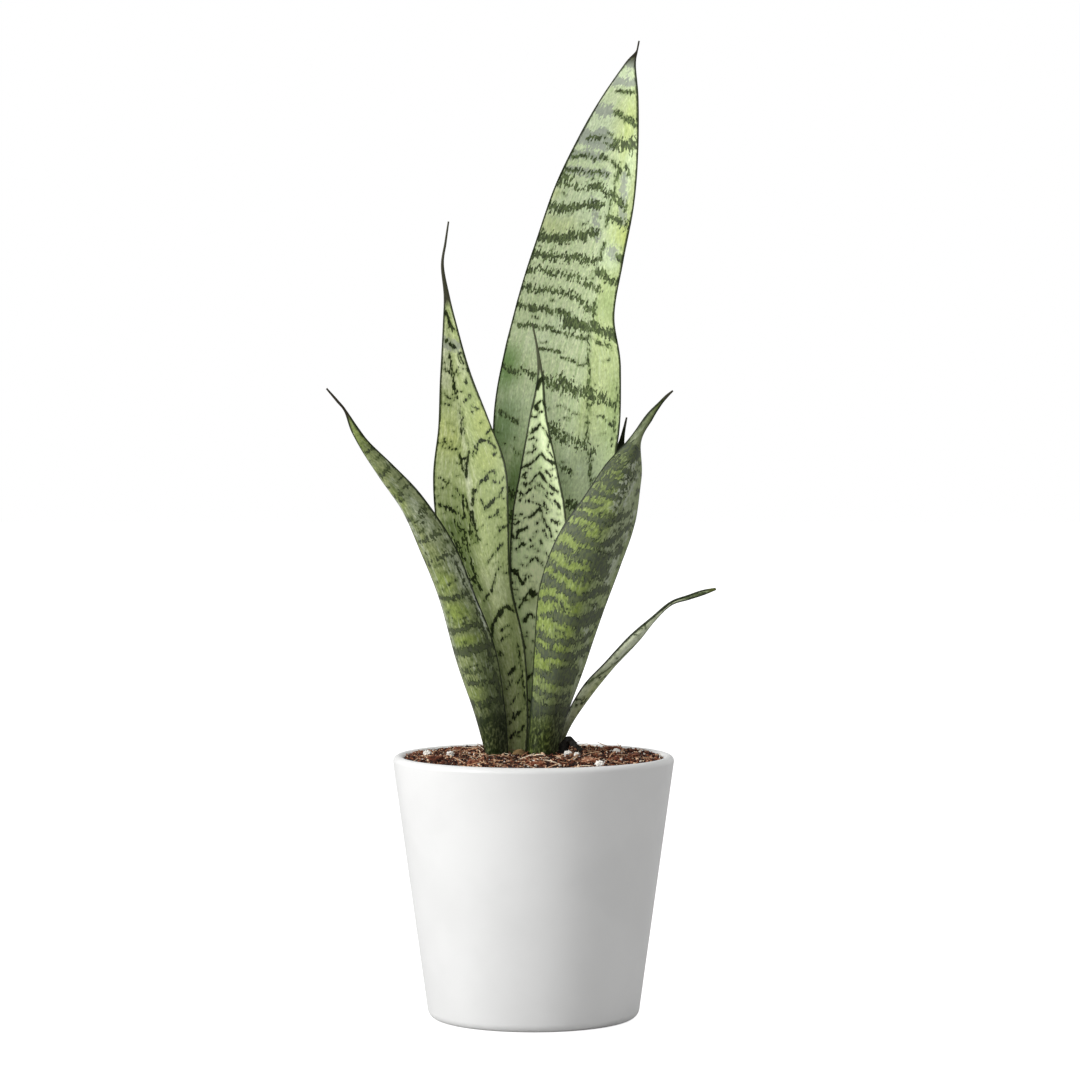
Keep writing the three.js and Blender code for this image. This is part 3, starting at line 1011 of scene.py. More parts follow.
    def build(self, finisher: Finisher) -> bpy.types.Object:
        """Make the leaf and dress it.

        Args:
            finisher: makes the material.

        Returns:
            The leaf, standing for the frame node of the same name.
        """
        rings, u, a, s = self.surface()
        width = np.where(u < 0, -a.min(1, keepdims=True), a.max(1, keepdims=True))
        margin = width * (1 - np.abs(u))
        marks, tints = self.pattern(a, s)
        values = {"blade": np.stack([a, s, margin], -1), "marks": marks, "tints": tints,
                  "along": s / s.max()}
        material = finisher.leaf(f"{self.name}_skin", self.finish)
        piece = MeshPiece.from_rings(f"{self.name}_blade", rings * MM, material, self.slot,
                                     (self.name,), values)
        box = np.stack([rings.min((0, 1)), rings.max((0, 1))]) * MM
        drift = np.abs(box - np.array(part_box(self.name))).max()
        log.info("%s lies within %.2f mm of its frame node's box", self.name, drift / MM)
        return piece


PALE = LeafFinish(
    pale=srgb(228, 238, 196), deep=srgb(198, 218, 162), wing_tone_and_sheen=srgb(194, 210, 136),
    ink=srgb(26, 38, 10), heart=srgb(74, 84, 58), stain=srgb(118, 138, 84), foot=srgb(36, 48, 18),
    shadow=srgb(116, 152, 84), gold_and_light=srgb(200, 210, 104), bloom_and_highlight=srgb(226, 242, 206),
    veil_and_highlight=srgb(140, 142, 148), wing_share=0.6, haze=0.3, coverage=0.92, lace=0.7, mottle=0.5)
YELLOW_GREEN = LeafFinish(
    pale=srgb(192, 202, 150), deep=srgb(162, 176, 114), wing_tone_and_sheen=srgb(152, 166, 108),
    ink=srgb(10, 18, 0), heart=srgb(26, 38, 10), stain=srgb(90, 110, 46), foot=srgb(60, 78, 26),
    shadow=srgb(92, 110, 58), gold_and_light=srgb(188, 196, 104), bloom_and_highlight=srgb(222, 226, 196),
    tip=srgb(60, 60, 44), wing_share=0.75, haze=0.25, coverage=0.97, bleed=0.45, lace=0.2, mottle=0.6,
    foot_height=12, tip_from=0.84)
# The centre leaf: the tint of its yellow patches is a near-white cream, painted light over its shaded lower
# half.
CREAM = LeafFinish(
    pale=srgb(242, 255, 208), deep=srgb(228, 248, 188), wing_tone_and_sheen=srgb(236, 246, 194),
    ink=srgb(8, 16, 0), heart=srgb(20, 32, 6), stain=srgb(104, 130, 56), foot=srgb(90, 106, 50),
    shadow=srgb(150, 170, 96), gold_and_light=srgb(246, 255, 206), bloom_and_highlight=srgb(240, 248, 212),
    tip=srgb(84, 88, 66), wing_share=0.3, haze=0.12, coverage=0.97, bleed=0.45, lace=0.15,
    mottle=0.25, tip_from=0.88)
OLIVE = LeafFinish(
    pale=srgb(142, 150, 102), deep=srgb(104, 116, 68), wing_tone_and_sheen=srgb(126, 136, 98),
    ink=srgb(34, 42, 20), heart=srgb(74, 80, 62), stain=srgb(78, 90, 50), foot=srgb(18, 30, 6),
    shadow=srgb(56, 72, 28), gold_and_light=srgb(128, 144, 68), wing_share=0.7, bleed=0.55, mottle=0.95,
    foot_height=42, tip_from=0.905)
# The dark right leaf: its right-wing colour is a painted grey sheen of the wing turned from the light.
DARK = LeafFinish(
    pale=srgb(144, 160, 90), deep=srgb(118, 134, 60), wing_tone_and_sheen=srgb(144, 156, 114),
    ink=srgb(36, 44, 24), heart=srgb(82, 89, 76), stain=srgb(96, 106, 70), foot=srgb(16, 26, 6),
    shadow=srgb(98, 104, 90), gold_and_light=srgb(150, 170, 72), bloom_and_highlight=srgb(184, 190, 172),
    veil_and_highlight=srgb(186, 192, 176), tip=srgb(60, 58, 44), wing_share=0.7, haze=0.22, lace=0.8, bleed=0.65,
    mottle=0.8, foot_height=38)
# The back leaf: its shadow patch is near black, a painted shadow over the part that shows between the
# leaves in front.
DARK_IN_PAINTED_SHADOW = replace(DARK, shadow=srgb(24, 28, 16))
LOW = LeafFinish(
    pale=srgb(226, 232, 202), deep=srgb(194, 204, 164), wing_tone_and_sheen=srgb(150, 164, 102),
    ink=srgb(34, 46, 18), stain=srgb(110, 124, 80), foot=srgb(52, 64, 28), tip=srgb(80, 86, 40),
    wing_share=0.6, haze=0.3)

LEAVES = (
    Leaf(
        name="leaf_tall", slot="leaf_pale", finish=PALE, sweep=Sweep.FORWARD, crisp=0.3, bow=8,
        bold=0.2, dashes=150, ripple=0.9, rows=340, around=150, seed=3,
        stations=(
            (-6.5, 16, 117.5, 6, 9.5, 0, 40), (-4.5, 19, 156, 10, 13.5, 2, 40),
            (1, 26, 199.5, 20.5, 20.5, 5, 36), (10.5, 32, 243, 34, 24, 8, 30),
            (18.5, 38, 282, 41.5, 24, 8, 26), (24.5, 41, 313.5, 41.5, 19, 7, 24),
            (27.5, 42, 338, 38.5, 12.5, 6, 26), (32, 42, 365.5, 34, 12.5, 4, 28),
            (36.5, 40, 394, 28.5, 13.5, 2, 30), (41.5, 36, 420.5, 20.5, 10.5, -2, 32),
            (46, 32, 443, 12, 5.5, -6, 32), (48.5, 29, 458, 4.5, 1.1, -8, 26),
            (50, 28, 464.5, 0.6, 0.4, 0, 8), (51, 28, 469.5, 0.4, 0.4, 0, 0)),
        marks=(
            *strokes(
                (1.6, 0.5, -6, 444.5, 3, 445), (2.0, 0.5, -5, 434, 7, 433), (2.4, 0.5, 2, 432, 7, 431),
                (1.6, 1.2, -15, 421, -7, 421), (2.0, 1.0, -6, 420, 0, 419), (5.0, 1.5, 1, 421, 8, 422),
                (1.6, 0.5, -22, 411, -10, 412), (2.2, 0.5, -7, 413, -4, 413),
                (2.0, 0.5, -2, 412, 4, 408), (1.6, 0.5, 6, 410, 9, 407), (1.5, 0.9, -26, 405, -3, 405),
                (3.6, 0.9, -26, 401, -21, 401), (2.4, 1.1, -28, 398, -14, 397, -3, 399),
                (3.0, 1.2, -1, 397, 9, 392), (1.3, 0.4, 3, 410, 2, 394, 1, 380),
                (3.4, 1.1, -31, 386, -17, 387, -4, 391), (2.8, 0.9, 1.5, 386, 14, 381),
                (4.4, 1.0, -33, 371, -19, 372, -4, 377), (4.0, 0.5, 10.5, 367.5, 13.5, 367),
                (1.1, 0.3, 1.5, 373, 1, 364), (3.4, 1.1, -36, 361, -19, 363, -1, 364),
                (3.2, 0.8, -1, 358, 13, 354), (2.2, 1.1, -38, 353, -17, 355, 2, 351),
                (2.4, 1.0, -38, 346, -9, 345.5, 0, 340), (1.8, 0.5, 2, 345, 2, 337),
                (2.4, 0.7, -39, 337, -11, 336), (5.4, 0.9, -12, 333, 0, 331),
                (4.2, 0.9, 2, 333, 15, 328), (1.7, 0.6, -36, 329, -14, 328),
                (1.8, 0.6, -11, 327, 0, 325), (2.0, 0.6, 6, 326, 13, 323),
                (1.5, 0.5, -24, 317.5, -12, 317.5), (1.4, 0.5, -11, 315, 0, 313),
                (2.8, 0.7, -42, 304, -33, 303), (2.0, 0.7, -31, 305, -24, 303),
                (4.0, 1.3, -19, 302, -11, 300), (5.0, 1.5, -10, 303, 1, 299),
                (5.0, 1.5, 2, 301, 12, 299), (1.8, 0.6, 12, 298, 21, 296),
                (1.1, 0.5, 19, 306, 21.5, 278), (1.7, 0.5, -39, 281, -28, 279),
                (4.6, 1.5, -13, 281, -2, 277), (3.2, 1.3, 1, 277, 12, 273),
                (1.2, 0.5, -20, 284, -14, 283), (1.0, 0.5, 12, 290, 19, 288),
                (0.8, 0.5, -9, 291, 3, 289), (1.2, 0.4, 11, 274, 15, 258), (2.8, 0.7, 0, 262, 4, 261),
                (1.0, 0.45, 0, 336, 2, 318, 5.5, 296, 9.5, 277)),
            *strokes(
                (3.6, 0.5, -3, 458, 0, 459), (3.0, 0.5, -8, 449, 2, 450),
                (4.2, 0.5, -15, 435, -9, 435), (8.0, 0.5, -20, 421, -7, 421),
                (2.4, 0.5, -24, 412, -7, 413), (2.4, 0.5, -25, 405, -3, 405),
                (5.0, 0.5, 7, 368, 7, 369), (2.2, 0.5, 6, 406, 9, 384), (1.6, 0.5, -7, 392, -2, 374),
                veil_and_highlight=True),
            band(246, 3.0, rise=0.06, tear=1.2), band(234, 4.2, right=6, tear=1.1),
            band(229, 2.6, left=2, rise=-0.2), band(217, 2.2, rise=0.1, tear=1.2),
            band(205, 4.6, dip=0.15, tear=1.0), band(197, 1.6, left=-6, tear=1.2),
            band(184, 3.6, rise=-0.1, tear=1.1), band(174, 1.8, right=4), band(163, 4.0, dip=0.2),
            band(151, 2.0), band(141, 4.0, rise=0.15)),
        patches=(
            # Wax patches, and painted light over the lower part, which the centre leaf shades.
            *ovals(Tint.WAX_AND_HIGHLIGHT, (-20, 388, 18, 12, 0.3), (-22, 282, 18, 18, 0.4), (8, 256, 18, 26, 0.75),
                (5, 366, 6, 8, 0.7), (-12, 424, 10, 18, 0.75), (-4, 453, 8, 7, 0.6),
                (8, 407, 3, 18, 0.6), (-8, 392, 12, 18, 0.5), (-14, 331, 9, 7, 0.35),
                (-24, 322, 10, 8, 0.3)),
            # Painted shade, mostly on the lower left behind the centre leaf.
            *ovals(Tint.SHADOW, (20, 286, 6, 30, 0.3), (-40, 304, 9, 16, 0.9), (-35, 276, 9, 16, 0.95),
                (-22, 250, 9, 20, 0.7), (8, 343, 6, 9, 0.25)),
            *ovals(Tint.GOLD_AND_LIGHT, (12, 377, 5, 8, 0.5), (-30, 393, 5, 4, 0.5), (-27, 378, 16, 5, 0.35),
                (1, 430, 6, 14, 0.4)))),
    Leaf(
        name="leaf_left_upright", slot="leaf_yellow_green", finish=YELLOW_GREEN, sweep=Sweep.FORWARD,
        crisp=0.3, bow=6, waver=0.3, bold=0.05, fray=0.7, dashes=150, ripple=0.7, rows=300, seed=11,
        stations=(
            (-9, 4, 119, 4, 6.5, -8, 60), (-8.5, 4, 145.5, 7, 7.2, -8, 56),
            (-12.5, 4, 176.5, 13.5, 10, -10, 50), (-18, 5, 205.5, 19, 9, -10, 46),
            (-25.5, 8, 234, 21, 15.5, -6, 40), (-30, 11, 260.5, 19, 18.5, -4, 36),
            (-33.5, 14, 284.5, 13, 13, -2, 36), (-37, 17, 308.5, 8.5, 7, 0, 36),
            (-40.5, 18, 332.5, 3.5, 3.5, 3, 36), (-42.5, 19, 346.5, 0.9, 2, 5, 24),
            (-44, 19, 361, 0.7, 0.8, 0, 0), (-42.5, 19, 372, 0.5, 0.6, 0, 0),
            (-41, 19, 382, 0.4, 0.4, 0, 0)),
        marks=(
            *strokes(
                (1.8, 0.5, -1, 338, 1, 330), (1.6, 0.6, -3, 325, 1, 321),
                (1.3, 0.6, -6, 312, -2, 308, 2, 311, 8, 309),
                (1.5, 0.5, -2.4, 318, -2.4, 305, -1.7, 297), (1.3, 0.5, 3, 318, 4, 312),
                (1.5, 0.5, 4, 304, 4.4, 303), (1.2, 0.4, -8, 300, -5.3, 297),
                (0.8, 0.4, -5.7, 294, -8.2, 295), (1.2, 0.4, 1.7, 295, 5, 297.5),
                (1.4, 0.4, 5.5, 292, 8.4, 290), (0.7, 0.35, -0.9, 294, -1.7, 281, -4.6, 273),
                (0.8, 0.35, 0.5, 291, -0.3, 284, -0.2, 278, 0.7, 272),
                (1.1, 0.35, -17.5, 275.5, -15.7, 276.7, -10.8, 277.2, -8.2, 274, -5.6, 273),
                (0.9, 0.3, -11.6, 276, -10.6, 279), (0.8, 0.3, -8, 275, -7.6, 277),
                (1.4, 0.4, -4.8, 271, -3.6, 267, -3.2, 262.5),
                (1.7, 0.3, 0.6, 271.5, -1.4, 265, -2.4, 259.5), (1.6, 0.4, -3, 268.5, -0.4, 268),
                (1.3, 0.4, 2.1, 269, 4.5, 273.1, 7.9, 275.5, 10.9, 275, 14, 271.5),
                (1.0, 0.35, 10.4, 277.8, 13.5, 279.5), (1.0, 0.4, 5.2, 272, 4.4, 269.5),
                (1.1, 0.35, -15.7, 260.7, -13, 258.4, -9.8, 256.1, -7.9, 253.1, -6.1, 249.6, -6.6, 241.3),
                (1.0, 0.35, -19.8, 256.1, -16.1, 254.9, -12.8, 256),
                (0.8, 0.4, -16, 257.5, -13.6, 255.4),
                (1.4, 0.45, -20.4, 249.6, -17.5, 247.8, -14, 246.6, -10.2, 243.7, -7.6, 240.7),
                (1.6, 0.6, -15, 246, -11, 243),
                (1.5, 0.3, -5.2, 250.8, -4.1, 246.6, -3.7, 240.2, -3.5, 236),
                (1.4, 0.3, 0, 253.1, -1.3, 247.2, -2.3, 239.5), (1.0, 0.45, -6.3, 250, -6.2, 242),
                (1.2, 0.4, 0.5, 252, 3.6, 255.5, 6.4, 257.3, 9.2, 259, 12.4, 260.2),
                (3.0, 0.5, 7, 256.4, 8.4, 257), (1.2, 0.35, 10.8, 254.9, 13.8, 253.7, 16.4, 256.4),
                (1.0, 0.3, 12, 259.4, 12.6, 257.6), (2.4, 0.5, 5.1, 243.7, 7.8, 244.9, 10.5, 246.6),
                (1.5, 0.45, 10.5, 246.6, 13.2, 247.8, 16, 251.2),
                (1.0, 0.5, 5.4, 238.6, 9.1, 238.4, 12, 241.3), (0.9, 0.4, 3.6, 248, 4.2, 243),
                (1.6, 0.6, -2.6, 237.8, -2.3, 233.7, -2.5, 229), (1.2, 0.8, -4.6, 238, -6, 230),
                (1.2, 1.2, -12, 240, -9, 234, -9, 226), (1.0, 1.3, -15, 236, -13, 230, -12, 222),
                (1.2, 1.1, -8, 222, -9, 212, -7, 206), (1.0, 1.2, -12, 216, -11, 208),
                (1.2, 0.35, 5.5, 222, 9.8, 225), (1.0, 0.35, -1.3, 217.6, 2, 220.3, 7.2, 223),
                (1.2, 0.4, -7, 200.8, -3.5, 204.4, 0.4, 208.8, 2.3, 212.3, 4.5, 214),
                (1.7, 0.35, -6.6, 183, -6.3, 185, -5.6, 188.4, -3.2, 191.9, 0.2, 195.4, 4.1, 196.5, 7, 194),
                (2.6, 0.5, -1, 193, 1, 195), (1.4, 0.5, -1, 186, 3, 187.5),
                (1.0, 0.5, -3, 181, 0, 183), (1.8, 0.35, -1.3, 164.5, 3.3, 167.5),
                (1.4, 0.5, -5, 176, -3, 174), (1.0, 0.4, -4, 158, 1, 162), (1.0, 0.4, -3, 150, 3, 155),
                (1.2, 0.4, -1, 143, 4, 147.5), (1.3, 0.5, -3.4, 141, -1, 146),
                (1.5, 0.5, 1, 136, 5, 140), (1.6, 0.5, -4, 133, 0, 137), (1.0, 0.5, 3, 160, 6, 163),
                (1.6, 0.4, -7.5, 182, -8, 152, -6, 130), (1.2, 0.4, 6.6, 178, 6.4, 150)),
            *strokes(
                (5.0, 0.5, -4, 324, 2, 322), veil_and_highlight=True)),
        patches=(
            # Painted highlight along the crease (the first three), and wax patches higher up.
            *ovals(Tint.WAX_AND_HIGHLIGHT, (-2.5, 246, 0.9, 9, 0.9), (-1.8, 259, 1.6, 8, 0.8),
                (-1.4, 282, 1.2, 12, 0.5), (-6, 316, 4, 14, 0.6), (4, 314, 3, 9, 0.4),
                (2, 207, 5, 12, 0.25)),
            *ovals(Tint.SHADOW, (-13, 249, 9, 8, 0.4), (-13, 236, 9, 9, 0.85), (-11, 222, 6, 12, 0.85),
                (-9.5, 209, 4, 9, 0.7), (-4, 232, 3, 8, 0.6), (-7, 196, 3, 18, 0.6),
                (-7, 160, 3.2, 34, 0.7)),
            *ovals(Tint.GOLD_AND_LIGHT, (-10, 280, 8, 10, 0.4), (10, 284, 6, 10, 0.3), (9, 266, 6, 7, 0.25)))),
    Leaf(
        name="leaf_centre", slot="leaf_cream", finish=CREAM, sweep=Sweep.FORWARD, crisp=0.25, bow=6,
        waver=0.2, bold=0.1, fray=0.65, dashes=170, ripple=0.4, rows=280, around=110, seed=17,
        stations=(
            (-1, 10, 118, 5, 6, 0, 50), (-0.5, 11, 152, 6.5, 8, 0, 48), (1, 13, 183, 10.5, 11, 0, 44),
            (3, 16, 212, 15, 13, 0, 40), (3.5, 18, 238.5, 14.5, 13.5, 0, 38),
            (3.5, 20, 262.5, 10.5, 9, 0, 40), (3.5, 20, 287, 6, 3.5, 0, 40),
            (3.5, 20, 306, 2, 1.5, 0, 24), (2, 20, 319.5, 0.7, 0.7, 0, 0),
            (-0.5, 20, 332.5, 0.4, 0.4, 0, 0)),
        marks=strokes(
            (2.6, 0.4, -2, 302, 0.5, 306), (1.3, 0.25, -2.6, 292.6, -2, 294.4, 0.8, 296, 2.3, 292.6),
            (1.8, 0.25, -2.9, 293, -2.2, 291.6),
            (1.0, 0.25, -4.5, 287.8, -2, 287.8, -0.8, 290.2, 1.1, 290.5),
            (1.2, 0.25, -5.7, 280.2, -3.2, 281.4, -0.2, 284.3, 2.9, 281.4, 4.8, 277.2),
            (1.6, 0.3, -5.4, 280, -4, 281), (0.9, 0.3, -6.3, 276.6, -3.9, 277.8, -2, 276.4),
            (1.2, 0.3, -3.9, 274.3, -2.6, 272.4, -4.5, 270.6, -6.9, 270.6),
            (0.8, 0.35, 4.8, 276.6, 4.2, 271.9, 6.6, 268.3),
            (1.6, 0.3, 0.5, 270.1, 3.5, 267.2, 7.4, 265.3),
            (1.1, 0.35, 0.5, 270.1, -2, 267.7, -4.5, 266, -6.9, 264.2, -8.7, 263.6),
            (1.8, 0.35, -7.6, 264.4, -6, 265),
            (1.6, 0.3, -0.2, 261.2, 2.3, 257.7, 5.4, 254.1, 9, 251.2),
            (1.2, 0.35, -0.2, 261.2, -3.2, 258.8, -5.7, 255.3, -9.4, 255.3),
            (1.9, 0.35, -9, 255.5, -7.4, 254.6),
            (0.8, 0.5, -11.2, 247, -8.1, 250.6, -4.5, 252.9, -0.2, 255.3),
            (1.1, 0.4, 0.5, 254.7, 4.2, 251.1, 6.6, 250), (0.8, 0.5, 2, 251, 5, 247.5),
            (1.3, 0.3, -5.1, 239.3, -2, 242.3, -0.2, 244, 1.1, 241.1, 2.3, 237.6, 4.8, 234, 6, 229.8),
            (1.9, 0.35, -15.2, 231, -12.4, 228.7, -11.2, 232.2, -7.5, 234),
            (1.0, 0.45, -13, 240, -9.4, 240.5), (1.4, 0.3, 0.2, 228, 0.8, 226.6),
            (0.8, 0.4, -3.4, 231, -1.6, 233), (0.9, 0.5, 6, 238, 9, 236), (0.9, 0.5, -6, 224, -3, 226),
            (1.2, 0.3, -6.6, 215.5, -3.8, 219.1, -2, 220, 0.8, 217.3, 2.8, 215),
            (2.2, 0.45, -14.9, 213, -12.8, 212.9, -10, 208.5, -8.2, 206.7),
            (1.3, 0.3, -9.4, 194.6, -6.5, 200.5, -3.8, 204, -1, 203.1, 3, 199),
            (2.2, 0.4, -4.4, 202.6, -1.4, 202), (1.8, 0.35, -6.4, 189, -4, 192.5, -0.3, 191.5, 3, 188),
            (1.6, 0.5, 7, 206, 9, 203), (1.0, 0.5, 8, 222, 12, 216), (1.4, 0.4, -7, 181, -5, 176),
            (1.4, 0.5, -6, 160, 0, 164), (1.6, 0.5, -6, 148, 0, 152), (1.0, 0.5, -9.5, 259, -7, 261),
            (0.9, 0.5, 3, 262, 6, 259), (1.4, 0.5, -11.5, 251, -9, 250), (1.4, 0.6, 7, 247, 10, 244),
            (1.1, 0.5, 1.5, 247, 4, 243), (1.0, 0.6, -7, 247, -4, 249), (1.3, 0.6, -13, 236, -10, 237),
            (1.0, 0.5, 2, 233, 4, 229), (1.1, 0.5, -2, 236, -0.5, 238), (1.1, 0.5, -5, 228, -3.5, 230),
            (1.0, 0.5, 3.6, 222, 6, 218), (1.1, 0.6, -12, 224, -9, 226), (1.0, 0.5, -7, 209, -5, 211),
            (1.0, 0.5, 1, 206, 3.5, 203)),
        patches=(
            *ovals(Tint.SHADOW, (-3, 199, 3.5, 3.5, 0.5), (-5, 150, 6, 18, 0.4)),
            # Painted light over the lower half, which the leaves in front shade.
            *ovals(Tint.GOLD_AND_LIGHT, (0, 205, 14, 16, 0.9), (-1, 178, 9, 14, 0.75), (2, 148, 2, 14, 0.6),
                (-6, 240, 8, 14, 0.7)))),
    Leaf(
        name="leaf_left_outer", slot="leaf_olive", finish=OLIVE, sweep=Sweep.BACK, crisp=0.3, bow=10,
        waver=0.8, dashes=260, ripple=0.5, rows=280, around=110, seed=23,
        stations=(
            (-18, -7, 120, 4, 7, -14, 70), (-23, -10, 146.5, 7.5, 10.8, -16, 70),
            (-30, -15, 175.5, 11.5, 13, -18, 66), (-38, -20, 202, 9.5, 11, -20, 60),
            (-47.5, -25, 226, 9, 10.5, -22, 56), (-58.5, -30, 245, 4.5, 9, -24, 52),
            (-70, -35, 260.5, 3, 7, -24, 50), (-79, -39, 273.5, 2, 4, -22, 40),
            (-83, -41, 282.5, 2.5, 1.5, -10, 20), (-87.5, -42, 291, 0.9, 0.4, 0, 0),
            (-91.5, -43, 296, 0.8, 0.4, 0, 0), (-96.5, -43, 301.5, 0.4, 0.4, 0, 0)),
        marks=(
            *strokes(
                (2.4, 0.5, -12, 204.5, -6.5, 203.4, 0.5, 201.7, 7.6, 202.6),
                (3.0, 0.6, -10, 188, -4.6, 187, 0.7, 187.8, 5.1, 188.7, 9, 187),
                (4.6, 0.7, -12, 178, -2.9, 176.5, 3.2, 177.4, 11, 176.5),
                (1.6, 1.0, -10, 168, 0, 167, 9, 168), (3.2, 0.7, -2, 162, 9, 161),
                (1.0, 0.5, 7, 220, 8, 204, 9, 190), (2.6, 0.6, 9.5, 184, 9, 150)),
            band(272, 1.4, tear=0.9), band(262, 1.2, tear=1.0), band(252, 1.4, tear=1.1),
            band(241, 1.2, tear=1.2), band(231, 1.6, tear=1.2), band(221, 1.2, tear=1.2),
            band(152, 3.6, tear=0.9), band(143, 3.4, tear=0.9)),
        patches=(
            # Painted highlights along both margins, and grey-green wax on the right wing.
            *ovals(Tint.WAX_AND_HIGHLIGHT, (10.6, 196, 1.1, 15, 0.95), (8, 212, 3, 14, 0.35), (3, 240, 3, 14, 0.25),
                (-8.5, 190, 1.6, 26, 0.4), (-4, 246, 1.6, 24, 0.45)),
            *ovals(Tint.SHADOW, (6, 160, 5, 26, 0.5)),
            *ovals(Tint.GOLD_AND_LIGHT, (-1, 210, 6, 6, 0.7), (0, 195, 7, 5.5, 0.85), (0, 182, 8, 2.6, 0.9),
                (-4, 156, 6, 5, 0.5), (-2, 250, 3, 8, 0.4), (0, 280, 5, 8, 0.45)))),
    Leaf(
        name="leaf_right_dark", slot="leaf_dark", finish=DARK, sweep=Sweep.BACK, crisp=0.2, bow=8,
        waver=1.5, bold=0.6, dashes=220, ripple=0.5, rows=300, around=130, seed=31,
        stations=(
            (5, -6, 120, 9, 6.5, 8, 60), (7.5, -9, 146.5, 9.7, 12, 10, 60),
            (14, -13, 175.5, 14.5, 18, 14, 60), (21, -16, 199.5, 20, 20, 16, 62),
            (28.5, -18, 221, 20.5, 22, 18, 64), (37, -20, 242, 16, 21.5, 22, 66),
            (44, -20, 261.5, 11, 15.5, 26, 66), (49, -19, 276.5, 4, 3, 22, 50),
            (55, -18, 288, 2, 2, 14, 24), (60, -18, 294.5, 1, 1, 8, 10),
            (63, -18, 298, 0.6, 0.9, 0, 0), (66, -18, 300.5, 0.4, 0.4, 0, 0)),
        marks=(
            *strokes(
                (7.0, 1.0, -10, 270, 2, 272), (4.0, 1.2, -14, 262, 4, 263),
                (6.0, 1.7, -17, 254, -9, 256, 0, 255), (4.6, 1.6, -15, 248, -8, 250, 0, 249),
                (2.2, 0.7, -22, 242, -6, 243.5), (4.0, 0.9, -21, 236, -3, 237, 12, 246),
                (4.4, 0.9, -23, 229, 1, 228, 15, 237), (3.6, 0.9, -23, 220, -6, 220, 2, 221, 16, 228),
                (9.0, 0.9, -3, 221, 8, 217), (2.8, 0.8, -22, 212, -6, 211, 8, 213),
                (4.4, 0.9, -20, 204, 0, 203, 16, 209), (1.8, 0.7, -18, 197, -4, 196),
                (6.0, 0.9, -6, 191, 4, 190, 16, 197), (2.4, 0.7, -17, 189, -6, 190),
                (3.0, 0.8, -16, 181, 2, 181, 14, 187), (4.8, 0.9, -14, 175, 0, 174, 15, 178),
                (9.0, 0.9, 2, 165, 8, 166), (3.6, 0.8, -13, 165, 2, 163),
                (2.6, 0.9, -11, 155, 10, 156)),
            # Painted highlight along the fold, and painted grey sheen streaks on the right wing.
            *strokes(
                (1.5, 0.3, 3, 270, 1.5, 261, 0.5, 252, 0, 244), (0.7, 0.3, 7, 262, 5, 248),
                (1.4, 0.4, 14, 229, 12.5, 208), (0.8, 0.4, 11, 200, 10, 186),
                (0.8, 0.4, 17, 246, 16, 232), veil_and_highlight=True),
            band(148, 6.0)),
        patches=(
            # Painted highlight along the fold and the right margin, and painted grey sheen on the right
            # wing.
            *ovals(Tint.WAX_AND_HIGHLIGHT, (0.6, 261, 1.3, 12, 0.85), (16, 220, 2, 16, 0.55), (9, 238, 9, 24, 0.4),
                (6, 256, 4, 12, 0.35), (13, 172, 2, 22, 0.5), (-2, 281, 3, 12, 0.2)),
            *ovals(Tint.SHADOW, (-5, 278, 12, 22, 0.6), (-9, 254, 12, 9, 0.35), (4, 222, 8, 10, 0.35),
                (0, 150, 16, 10, 0.5)),
            *ovals(Tint.GOLD_AND_LIGHT, (-14, 246, 5, 2.2, 0.4)))),
    Leaf(
        name="leaf_right_low", slot="leaf_pale", finish=LOW, sweep=Sweep.BACK, crisp=0.35, bow=4,
        waver=0.5, dashes=40, ripple=0.2, rows=220, around=76, seed=41,
        stations=(
            (8, 9, 119.5, 1.5, 3.5, 20, 40), (14.5, 8, 138.5, 1.5, 4, 24, 46),
            (25, 4, 156.5, 2.5, 6, 30, 50), (35.5, 2, 169, 2, 5.5, 36, 50),
            (47.5, 0, 181.5, 2.5, 5, 40, 44), (57, -1, 191, 1.5, 2, 40, 36),
            (65.5, -3, 199, 0.8, 1.5, 36, 26), (74, -4, 202, 1.1, 1.5, 30, 16),
            (81, -5, 204, 1.5, 1.1, 20, 6), (87, -6, 206, 0.6, 0.6, 10, 0)),
        marks=strokes(
            (1.2, 0.2, -2.2, 158, 0.5, 166, 3, 173.5, 3.7, 179.5, 3.2, 186, 2.4, 194.5),
            (1.8, 0.4, -1, 196, 0, 204), (1.4, 0.5, 0, 150, 3, 152), (1.4, 0.5, 1, 163, 4, 165)),
        patches=(
            *ovals(Tint.WAX_AND_HIGHLIGHT, (1, 180, 1.2, 14, 0.5)),
            *ovals(Tint.SHADOW, (0, 205, 4, 5, 0.7)),
            *ovals(Tint.GOLD_AND_LIGHT, (3, 158, 3, 16, 0.35)))),
    Leaf(
        name="leaf_back", slot="leaf_dark", finish=DARK_IN_PAINTED_SHADOW, sweep=Sweep.FORWARD, crisp=0.3, bow=6,
        waver=1.0, dashes=30, ripple=0.3, rows=180, around=76, seed=47,
        stations=(
            (3, 24, 118, 2.5, 5, 10, 50), (12, 26, 151, 4.5, 5.5, 10, 40),
            (25.5, 34, 194, 5.5, 6, 10, 36), (35.5, 40, 233, 5.5, 5, 10, 34),
            (41, 42, 262.5, 4, 3.5, 8, 30), (43, 43, 277, 0.9, 1.5, 4, 10),
            (45.5, 43, 287.5, 0.4, 0.4, 0, 0)),
        marks=tuple((band(height, 5.0) for height in range(135, 262, 11))),
        # A near-black painted shadow over the part that shows between the leaves in front.
        patches=ovals(Tint.SHADOW, (0, 272, 9, 24, 1.0))),
)


# ---- planter ------------------------------------------------------------------------------

